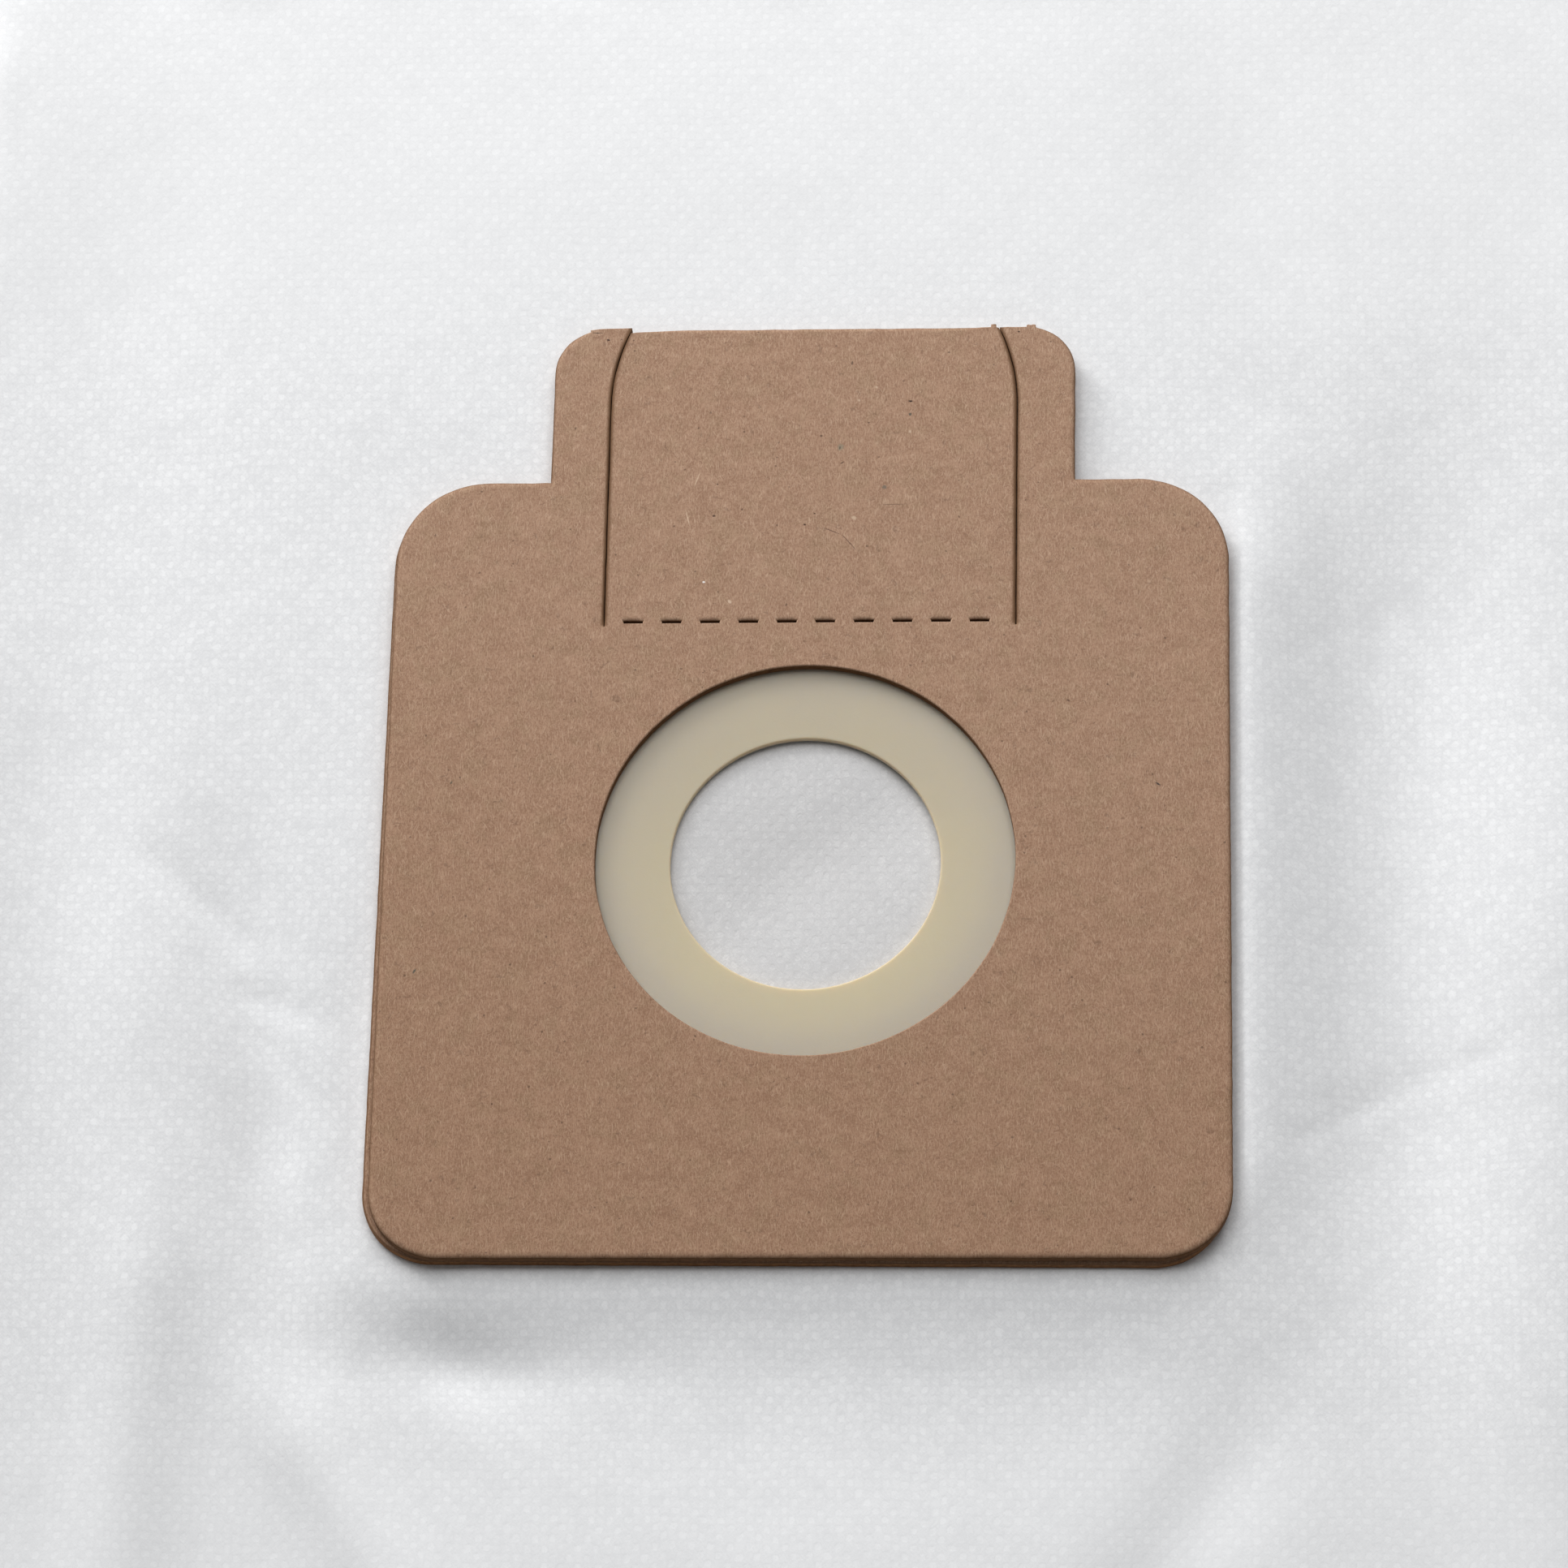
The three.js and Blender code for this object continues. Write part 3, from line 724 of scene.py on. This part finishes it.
def clothObject(name, underAt, overAt, xs, ys, finish, holeRadius=None):
    x, y = np.meshgrid(xs, ys)
    if holeRadius is not None:
        # grid squares round the hole turn into circles near it
        square = np.maximum(np.abs(x), np.abs(y))
        radius = np.maximum(np.hypot(x, y), 1e-6)
        share = (1 - softStep((square - holeRadius) / holeRadius)) * (square > 0)
        pull = 1 + (square / radius - 1) * share
        warpX, warpY = x * pull, y * pull
    else:
        square = np.full_like(x, 1e6)
        warpX, warpY = x, y
    # the cut edge runs a little in and out
    edgeX = softStep((np.abs(x) - bag["halfWidth"] + 14) / 14)
    edgeY = softStep((np.maximum(y - bag["top"], bag["bottom"] - y) + 14) / 14)
    trimX = np.sign(x) * edgeX * (0.3 + 0.3 * softNoise(y, x * 0, 31, 31))
    trimY = np.sign(y) * edgeY * (0.3 + 0.3 * softNoise(x, y * 0, 37, 32))
    px, py = warpX - trimX, warpY - trimY
    rows, columns = x.shape
    layer = rows * columns
    spots = np.vstack([
        np.stack([px.ravel(), py.ravel(), underAt(warpX, warpY).ravel()], 1),
        np.stack([px.ravel(), py.ravel(), overAt(warpX, warpY).ravel()], 1),
    ])
    grid = np.arange(layer).reshape(rows, columns)
    a, b = grid[:-1, :-1], grid[:-1, 1:]
    c, d = grid[1:, 1:], grid[1:, :-1]
    middle = (square[:-1, :-1] + square[1:, 1:] + square[:-1, 1:] + square[1:, :-1]) / 4
    kept = middle > (holeRadius or -1)
    overFaces = np.stack([a[kept], b[kept], c[kept], d[kept]], 1) + layer
    underFaces = np.stack([a[kept], d[kept], c[kept], b[kept]], 1)
    walls = []
    padded = np.pad(kept, 1)
    for shiftRow, shiftColumn, first, second in ((-1, 0, a, b), (0, 1, b, c), (1, 0, c, d),
                                                 (0, -1, d, a)):
        beside = padded[1 + shiftRow:1 + shiftRow + rows - 1,
                        1 + shiftColumn:1 + shiftColumn + columns - 1]
        rim = kept & ~beside
        p, q = first[rim], second[rim]
        walls.append(np.stack([p, q, q + layer, p + layer], 1))
    faces = np.vstack([overFaces, underFaces, *walls])
    used = np.unique(faces)
    order = np.full(2 * layer, -1)
    order[used] = np.arange(len(used))
    centres = spots[faces].mean(1)
    inWeld = weldDistance(centres[:, 0], centres[:, 1]) < 0.2
    return toObject(name, spots[used], order[faces], [finish, weldFinish], inWeld.astype(int))


thickness = bag["thickness"]
weldHalf = bag["weldThickness"] / 2


def frontUnder(x, y):
    return betweenWeld(weldHalf, thickness + frontLift(x, y), x, y)


def frontOver(x, y):
    return betweenWeld(2 * weldHalf, 2 * thickness + frontLift(x, y), x, y)


def rearUnder(x, y):
    return betweenWeld(0.0, rearLift(x, y), x, y)


def rearOver(x, y):
    return betweenWeld(weldHalf, rearLift(x, y) + thickness, x, y)


def makeFrontCloth():
    hole = bag["clothHole"]
    half, top, bottom = bag["halfWidth"], bag["top"], bag["bottom"]
    xs = splitLines([-half, -128, -hole, hole, 128, half], [2.6, 1.5, 2.0, 1.5, 2.6])
    ys = splitLines([bottom, -120, -hole, hole, top], [2.6, 1.5, 2.0, 1.5])
    return clothObject("frontClothPanel", frontUnder, frontOver, xs, ys, frontClothFinish, hole)


def makeRearCloth():
    half, top, bottom = bag["halfWidth"], bag["top"], bag["bottom"]
    xs = splitLines([-half, -60, 60, half], [3.2, 1.6, 3.2])
    ys = splitLines([bottom, -60, 60, top], [3.2, 1.6, 3.2])
    return clothObject("rearClothPanel", rearUnder, rearOver, xs, ys, rearClothFinish)


frontCloth = makeFrontCloth()
rearCloth = makeRearCloth()
print("cloth panels ready")

# The two cards

quarterTurn = (0, 22, 45, 68, 90)  # degrees round a rim, from the flat face to the edge

card = {
    "thickness": 1.6,
    "rimWidth": 0.95,  # the pressed rim of the top face
    "rimDrop": 0.46,
    "rimEase": 0.16,  # from the flat face into the rim
    "hollow": 0.012,  # how far the middle of the cut edge stands back
    "cutRound": 0.10,  # round the torn bridges
    "cutShare": 0.72,  # of the rim's rounding along the slits and dashes
    "underRound": 0.12,
    "step": 0.9,  # spacing of the outline's points
    "waver": 0.045,
    "bow": 0.03,  # slow unevenness of the faces
    "holeRadius": 32.3,
    "rearHoleRadius": 38.95,
    "rearTurn": -0.33,  # degrees
    "rearSlip": (-0.45, -0.35),
    "rearWide": 0.0045,  # how much wider the rear card is cut on its left
    "frontWide": 0.003,  # and the front card on its right
    "slitX": 32.05,
    "slitWidth": 0.12,
    "hookRise": 13.5,
    "hookInset": 3,
    "perforation": 39.9,
    "slitRunOut": 0.6,
    "dashHalf": 1.5,
    "dashWidth": 0.42,
    "dashPitch": 6,
    "dashCount": 10,
    "dashShift": -0.5,
}


def arcPoints(cx, cy, radius, start, end):
    # angles in degrees
    count = max(int(abs(math.radians(end - start)) * radius / card["step"]), 6)
    angles = np.radians(np.linspace(start, end, count + 1))
    return [(cx + radius * math.cos(a), cy + radius * math.sin(a)) for a in angles]


def linePoints(first, last, step=None):
    length = math.dist(first, last)
    count = max(int(length / (step or card["step"])), 1)
    return [(first[0] + (last[0] - first[0]) * k / count,
             first[1] + (last[1] - first[1]) * k / count) for k in range(1, count)]


def roundedRim(width, drop, angles):
    # how far in from the edge and how far off the face, at each angle
    turns = [math.radians(angle) for angle in angles]
    return [(width * (1 - math.sin(turn)), drop * (1 - math.cos(turn))) for turn in turns]


def signedArea(p):
    # positive where the outline runs anticlockwise
    return 0.5 * np.sum(p[:, 0] * np.roll(p[:, 1], -1) - np.roll(p[:, 0], -1) * p[:, 1])


def withShare(points, share):
    return [(point, share) for point in points]


def lowerOutline():
    # anticlockwise from the left shoulder's inner corner, round the collar's foot, to the right one
    half, low, high = collar["halfWidth"], collar["low"], collar["shoulder"]
    small, big, tab = collar["bottomRadius"], collar["shoulderRadius"], collar["tabHalf"]
    points = [(-tab, high)] + linePoints((-tab, high), (-half + big, high))
    points += arcPoints(-half + big, high - big, big, 90, 180)
    points += linePoints((-half, high - big), (-half, low + small))
    points += arcPoints(-half + small, low + small, small, 180, 270)
    points += linePoints((-half + small, low), (half - small, low))
    points += arcPoints(half - small, low + small, small, 270, 360)
    points += linePoints((half, low + small), (half, high - big))
    points += arcPoints(half - big, high - big, big, 0, 90)
    points += linePoints((half - big, high), (tab, high)) + [(tab, high)]
    return points


def tabOutline():
    # the rest of a plain card, from the right foot of the tab over its top
    tab, high, top, radius = (collar["tabHalf"], collar["shoulder"], collar["tabTop"],
                              collar["tabRadius"])
    points = linePoints((tab, high), (tab, top - radius))
    points += arcPoints(tab - radius, top - radius, radius, 0, 90)
    points += linePoints((tab - radius, top), (-tab + radius, top))
    points += arcPoints(-tab + radius, top - radius, radius, 90, 180)
    points += linePoints((-tab, top - radius), (-tab, high))
    return points


def slitSide(side, outward, short=0.15):
    # one side of a slit from its lower end to the tab's top edge
    top, rise, inset = collar["tabTop"], card["hookRise"], card["hookInset"]
    radius = (rise ** 2 + inset ** 2) / (2 * inset)
    centreX = card["slitX"] - radius
    offset = outward * card["slitWidth"] / 2
    low = card["perforation"] - card["slitRunOut"]
    points = linePoints((card["slitX"] + offset, low), (card["slitX"] + offset, top - rise), 1.2)
    points = [(card["slitX"] + offset, low)] + points
    sweep = math.degrees(math.asin((rise - short) / radius))
    points += arcPoints(centreX, top - rise, radius + offset, 0, sweep)
    return [(side * x, y) for x, y in points]


def cutShareAt(point, top):
    # the slits' rounding fades where they run out of the tab's top edge
    return card["cutShare"] * min(max(top - point[1] - 0.8, 0) / 3, 1)


def frontTabOutline():
    # over the tab from its right foot, in and out of both slits, past the torn bridges
    tab, high, top, radius = (collar["tabHalf"], collar["shoulder"], collar["tabTop"],
                              collar["tabRadius"])
    points = withShare(linePoints((tab, high), (tab, top - radius)), 1.0)
    points += withShare(arcPoints(tab - radius, top - radius, radius, 0, 79), 1.0)
    rightBridge = [(34.92, -0.08), (34.86, 0.32), (34.5, 0.40), (34.1, 0.28), (33.7, 0.38),
                   (33.46, 0.28), (33.42, -0.04)]
    points += [((x, top + up), 0.25) for x, up in rightBridge]
    points += withShare(linePoints((33.3, top - 0.02), (29.5, top)), 0.7)
    points += [(p, cutShareAt(p, top)) for p in reversed(slitSide(1, 1))]
    points += [(p, cutShareAt(p, top)) for p in slitSide(1, -1)]
    sliver = [(28.68, -0.08), (28.64, 0.44), (28.24, 0.50), (27.84, 0.42), (27.80, -0.04)]
    points += [((x, top + up), 0.1) for x, up in sliver]
    points += withShare(linePoints((27.4, top - 0.04), (-21, top - 0.08)), 0.9)
    fall = [(-22, -0.15), (-23.5, -0.22), (-25, -0.30), (-26.5, -0.38)]
    points += [((x, top + down), 0.7) for x, down in fall]
    points += [((x, top + down), 0.3) for x, down in [(-27.6, -0.44), (-28.3, -0.48)]]
    points += [(p, cutShareAt(p, top)) for p in reversed(slitSide(-1, -1, 0.6))]
    points += [(p, cutShareAt(p, top)) for p in slitSide(-1, 1)]
    leftBridge = [(-29.08, 0.30), (-29.6, 0.31), (-30.6, 0.27), (-31.6, 0.25), (-32.6, 0.24),
                  (-33.6, 0.22), (-34.4, 0.18), (-35.1, 0.06), (-35.7, -0.02), (-35.6, -0.30)]
    points += [((x, top + up), 0.25) for x, up in leftBridge]
    points += withShare(arcPoints(-tab + radius, top - radius, radius, 107, 180), 1.0)
    points += withShare(linePoints((-tab, top - radius), (-tab, high)), 1.0)
    return points


def dashOutline(k):
    x = card["dashShift"] + (k - (card["dashCount"] - 1) / 2) * card["dashPitch"]
    half, wide = card["dashHalf"], card["dashWidth"] / 2
    y = card["perforation"]
    corners = [(x - half, y - wide), (x + half, y - wide), (x + half, y + wide),
               (x - half, y + wide)]
    points = []
    for first, last in zip(corners, corners[1:] + corners[:1]):
        points += [first] + linePoints(first, last, 0.6)
    return points


def circleOutline(radius, steps=180):
    return [(radius * math.cos(2 * math.pi * k / steps), radius * math.sin(2 * math.pi * k / steps))
            for k in range(steps)]


def inwardNormals(points, hole):
    # unit vectors from the outline into the card, lengthened at corners
    p = np.array(points)
    before = p - np.roll(p, 1, 0)
    after = np.roll(p, -1, 0) - p
    before /= np.maximum(np.linalg.norm(before, axis=1), 1e-9)[:, None]
    after /= np.maximum(np.linalg.norm(after, axis=1), 1e-9)[:, None]
    normalBefore = np.stack([-before[:, 1], before[:, 0]], 1)
    normalAfter = np.stack([-after[:, 1], after[:, 0]], 1)
    middle = normalBefore + normalAfter
    middle /= np.maximum(np.linalg.norm(middle, axis=1), 1e-9)[:, None]
    cosine = np.clip((middle * normalBefore).sum(1), 0.6, 1)
    side = np.sign(signedArea(p)) * (-1 if hole else 1)
    return middle / cosine[:, None] * side


def insideLoops(points, loops):
    # True where a point is inside an odd number of loops
    inside = np.zeros(len(points), bool)
    x, y = points[:, 0], points[:, 1]
    for loop in loops:
        a = np.array(loop)
        b = np.roll(a, -1, 0)
        for (ax, ay), (bx, by) in zip(a, b):
            crosses = (ay > y) != (by > y)
            if not crosses.any():
                continue
            inside ^= crosses & (x < (bx - ax) * (y - ay) / (by - ay + 1e-12) + ax)
    return inside


def fillFace(loops, cell):
    # triangles between the loops, with loose points inside so that the face can bow
    spots = [Vector(p) for loop in loops for p in loop]
    edges = []
    start = 0
    for loop in loops:
        count = len(loop)
        edges += [(start + k, start + (k + 1) % count) for k in range(count)]
        start += count
    outline = np.array([tuple(s) for s in spots])
    low, high = outline.min(0), outline.max(0)
    gx, gy = np.meshgrid(np.arange(low[0] + 1, high[0], cell), np.arange(low[1] + 1, high[1], cell))
    loose = np.stack([gx.ravel(), gy.ravel()], 1)
    loose = loose[insideLoops(loose, loops)]
    clear = np.array([np.min(np.hypot(*(outline - p).T)) > cell * 0.45 for p in loose])
    loose = loose[clear]
    spots += [Vector(p) for p in loose]
    result = geometry.delaunay_2d_cdt(spots, edges, [], 0, 1e-7)
    verts = np.array([tuple(v) for v in result[0]])
    triangles = np.array([list(f) for f in result[2]])
    kept = insideLoops(verts[triangles].mean(1), loops)
    triangles = triangles[kept]
    if len(verts) != len(spots):
        raise RuntimeError("the face's outline crosses itself")
    a, b, c = (verts[triangles[:, k]] for k in range(3))
    turn = (b[:, 0] - a[:, 0]) * (c[:, 1] - a[:, 1]) - (b[:, 1] - a[:, 1]) * (c[:, 0] - a[:, 0])
    triangles[turn < 0] = triangles[turn < 0][:, ::-1]
    return verts, triangles


def cardObject(name, loops, base, finishes, place=None, bowSeed=41):
    # loops: (points, share of the full rounding at each point, is it a hole)
    top = base + card["thickness"]
    spots, faces, kinds = [], [], []
    topLoops, underLoops, topStarts, underStarts = [], [], [], []
    for loopSeed, (points, share, hole) in enumerate(loops):
        p = np.array(points, float)
        length = np.cumsum(np.hypot(*(np.roll(p, -1, 0) - p).T))
        inward = inwardNormals(points, hole)
        waver = card["waver"] * (softNoise(length, 0 * length, 2.6, 60 + loopSeed)
                                 + 0.5 * softNoise(length, 0 * length, 0.9, 90 + loopSeed))
        waver = waver * np.array(share)
        p = p + inward * np.maximum(waver, -card["waver"])[:, None]
        rimWidth = card["cutRound"] + (card["rimWidth"] - card["cutRound"]) * np.array(share) ** 3
        rimDrop = card["cutRound"] + (card["rimDrop"] - card["cutRound"]) * np.array(share)
        underRound = np.minimum(card["underRound"], rimDrop)
        count = len(p)
        # from the top face over its rim, down the cut edge and round to the under face
        rings = [(rimWidth + card["rimEase"] * (0.35 + 0.65 * np.array(share) ** 2),
                  np.full(count, top))]
        rings += [(inset, top - drop) for inset, drop in roundedRim(rimWidth, rimDrop, quarterTurn)]
        rings.append((np.full(count, card["hollow"]), np.full(count, (top + base) / 2)))
        rings += [(inset, base + rise)
                  for inset, rise in roundedRim(underRound, underRound, (90, 45, 0))]
        rings.append((underRound + 0.1, np.full(count, base)))
        starts = []
        for inset, height in rings:
            starts.append(len(spots))
            flat = p + inward * inset[:, None]
            spots.extend(np.column_stack([flat, height]).tolist())
        topLoops.append((p + inward * rings[0][0][:, None]).tolist())
        underLoops.append((p + inward * rings[-1][0][:, None]).tolist())
        topStarts.append(starts[0])
        underStarts.append(starts[-1])
        outwardFirst = (signedArea(p) > 0) != hole
        for k in range(len(rings) - 1):
            edge = 1 if 4 <= k <= 7 else 0  # the strips that show the cut edge
            for i in range(count):
                j = (i + 1) % count
                quad = [starts[k] + i, starts[k + 1] + i, starts[k + 1] + j, starts[k] + j]
                faces.append(quad if outwardFirst else quad[::-1])
                kinds.append(edge)
    for layer, (fillLoops, starts) in enumerate(((topLoops, topStarts), (underLoops, underStarts))):
        verts, triangles = fillFace(fillLoops, 6.0)
        order = []
        for loop, start in zip(fillLoops, starts):
            order += list(range(start, start + len(loop)))
        extra = verts[len(order):]
        order += list(range(len(spots), len(spots) + len(extra)))
        height = top if layer == 0 else base
        spots.extend(np.column_stack([extra, np.full(len(extra), height)]).tolist())
        triangles = np.array(order)[triangles]
        faces.extend((triangles if layer == 0 else triangles[:, ::-1]).tolist())
        kinds.extend([0] * len(triangles))
    spots = np.array(spots)
    bow = card["bow"] * (softNoise(spots[:, 0], spots[:, 1], 34, bowSeed) - 1) / 2
    upper = (spots[:, 2] - base) / card["thickness"]
    spots[:, 2] += bow * upper
    if place is not None:
        turn, (slipX, slipY) = place
        c, s = math.cos(math.radians(turn)), math.sin(math.radians(turn))
        x, y = spots[:, 0].copy(), spots[:, 1].copy()
        spots[:, 0] = c * x - s * y + slipX
        spots[:, 1] = s * x + c * y + slipY
    return toObject(name, spots, faces, finishes, kinds)


def makeFrontCard():
    outline = withShare(lowerOutline(), 1.0) + frontTabOutline()
    points = [(x * (1 + card["frontWide"] * (x > 0)), y) for (x, y), _ in outline]
    # the rounding eases in and out of the cuts
    smooth = np.array([share for _, share in outline])
    for _ in range(3):
        smooth = np.minimum(smooth, (np.roll(smooth, 1) + smooth + np.roll(smooth, -1)) / 3)
    loops = [(points, smooth, False)]
    hole = circleOutline(card["holeRadius"])
    loops.append((hole, np.full(len(hole), 0.55), True))
    for k in range(card["dashCount"]):
        dash = dashOutline(k)
        # the flap's side of each dash is pressed wide, the other side is sharp
        shares = np.where(np.array(dash)[:, 1] > card["perforation"], 0.85, 0.1)
        loops.append((dash, shares, True))
    return cardObject("frontKraftCard", loops, frontCardBase,
                      [kraftFaceFinish, frontEdgeFinish])


def makeRearCard():
    points = [(x * (1 + card["rearWide"] * (x < 0)), y) for x, y in lowerOutline() + tabOutline()]
    loops = [(points, np.full(len(points), 0.8), False)]
    hole = circleOutline(card["rearHoleRadius"])
    loops.append((hole, np.full(len(hole), 0.3), True))
    place = (card["rearTurn"], card["rearSlip"])
    return cardObject("rearKraftCard", loops, clothTop, [kraftRearFinish, rearEdgeLitFinish], place, 43)


frontCard = makeFrontCard()
rearCard = makeRearCard()
print("cards ready")

# The seal ring

seal = {
    "holeRadius": 20.8,
    "radius": 38.3,
    "thickness": 1.3,
    "lipRound": 0.25,
    "footRound": 0.1,
    "outerBevel": 0.2,
    "thinning": 0.3,  # towards the hole
    "sag": 0.12,  # of its free inner part
    "steps": 192,
}


def makeSealRing():
    inner, outer, lip = seal["holeRadius"], seal["radius"], seal["lipRound"]
    foot, bevel = seal["footRound"], seal["outerBevel"]
    top = sealBase + seal["thickness"]
    profile = [(inner + out, sealBase + rise) for out, rise in roundedRim(foot, foot, quarterTurn)]
    profile += [(inner + out, top - drop) for out, drop in roundedRim(lip, lip, quarterTurn[::-1])]
    profile += [(inner + lip + 0.15, top), (24, top), (28, top), (32, top), (35, top),
                (outer - bevel, top), (outer, top - bevel), (outer, sealBase + bevel),
                (outer - bevel, sealBase), (32, sealBase), (26, sealBase)]
    steps, count = seal["steps"], len(profile)
    spots = []
    for i in range(steps):
        turn = 2 * math.pi * i / steps
        for r, z in profile:
            free = 1 - min(max((r - inner) / (card["holeRadius"] - inner), 0), 1)
            wave = 1 + 0.25 * math.sin(2 * turn + 0.6)
            upper = (z - sealBase) / seal["thickness"]
            fall = seal["sag"] * free * wave + seal["thinning"] * free ** 1.5 * upper
            spots.append((r * math.cos(turn), r * math.sin(turn), z - fall))
    faces = []
    for i in range(steps):
        following = (i + 1) % steps
        for k in range(count):
            after = (k + 1) % count
            faces.append([i * count + k, i * count + after, following * count + after,
                          following * count + k])
    return toObject("sealRing", spots, faces, [rubberFinish])


sealRing = makeSealRing()
print("seal ring ready")

# What stands for which part of the frame

for piece, node, slotName in (
    (frontCloth, "front_panel", "cloth"),
    (rearCloth, "rear_panel", "cloth"),
    (frontCard, "front_card", "card"),
    (rearCard, "rear_card", "card"),
    (sealRing, "seal_ring", "seal_rubber"),
):
    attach(piece, "root")
    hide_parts(node)

# Floor, light and camera

floor = {"colour": (0.80, 0.80, 0.80), "size": 6.0, "below": 0.0003}


def makeFloor():
    material, tree, shader = newMaterial("paleFloor")
    plugAll(tree, shader, {"Base Color": (*floor["colour"], 1), "Roughness": 0.9})
    half = floor["size"] / 2
    mesh = bpy.data.meshes.new("floor")
    corners = [(-half, -half, 0), (half, -half, 0), (half, half, 0), (-half, half, 0)]
    mesh.from_pydata(corners, [], [(0, 1, 2, 3)])
    mesh.materials.append(material)
    obj = bpy.data.objects.new("floor", mesh)
    obj.location.z = cadLow.z - floor["below"]
    bpy.context.scene.collection.objects.link(obj)


lamps = {
    # place, aim, size in metres, power in watts
    "highWindow": ((-0.08, 0.84, 0.98), (0, 0, 0), 1.5, 19.0),
    "lowWindow": ((-1.50, 1.72, 0.82), (0, 0, 0), 0.9, 30.0),
}
worldLight = 0.13
worldSeen = 0.9  # what the camera and gloss see of it


def addLamp(name, place, aim, size, power):
    data = bpy.data.lights.new(name, "AREA")
    data.shape = "SQUARE"
    data.size = size
    data.energy = power
    obj = bpy.data.objects.new(name, data)
    obj.location = Vector(place) + Vector((holeX, holeY, 0))
    obj.rotation_euler = (Vector(aim) - Vector(place)).to_track_quat("-Z", "Y").to_euler()
    bpy.context.scene.collection.objects.link(obj)


def makeWorld():
    world = bpy.data.worlds.new("studio")
    world.use_nodes = True
    tree = world.node_tree
    tree.nodes.clear()
    output = tree.nodes.new("ShaderNodeOutputWorld")
    light, seen = [tree.nodes.new("ShaderNodeBackground") for _ in range(2)]
    plugAll(tree, light, {"Color": (1, 1, 1, 1), "Strength": worldLight})
    plugAll(tree, seen, {"Color": (1, 1, 1, 1), "Strength": worldSeen})
    path = tree.nodes.new("ShaderNodeLightPath")
    mix = tree.nodes.new("ShaderNodeMixShader")
    shows = maths(tree, "MAXIMUM", path.outputs["Is Camera Ray"], path.outputs["Is Glossy Ray"])
    shows = maths(tree, "MAXIMUM", shows, path.outputs["Is Transmission Ray"])
    tree.links.new(shows, mix.inputs[0])
    tree.links.new(light.outputs[0], mix.inputs[1])
    tree.links.new(seen.outputs[0], mix.inputs[2])
    tree.links.new(mix.outputs[0], output.inputs["Surface"])
    bpy.context.scene.world = world


view = {
    "fromCollar": (0.0589, -0.3982, 0.9587),  # camera from the hole's middle at the collar's top
    "turn": (23.205, 3.243, 1.112),
    "lens": 155.73,
}


def makeCamera():
    data = bpy.data.cameras.new("photoCamera")
    data.sensor_fit = "HORIZONTAL"
    data.sensor_width = 36
    data.lens = view["lens"]
    data.clip_start = 0.05
    data.clip_end = 20
    obj = bpy.data.objects.new("photoCamera", data)
    start = Vector((holeX, holeY, frontCardHigh.z))
    obj.location = start + Vector(view["fromCollar"])
    obj.rotation_euler = [math.radians(a) for a in view["turn"]]
    bpy.context.scene.collection.objects.link(obj)
    bpy.context.scene.camera = obj


makeFloor()
for lampName, (place, aim, size, power) in lamps.items():
    addLamp(lampName, place, aim, size, power)
makeWorld()
makeCamera()
bpy.context.scene.view_settings.view_transform = "Standard"
print("floor, light and camera ready")
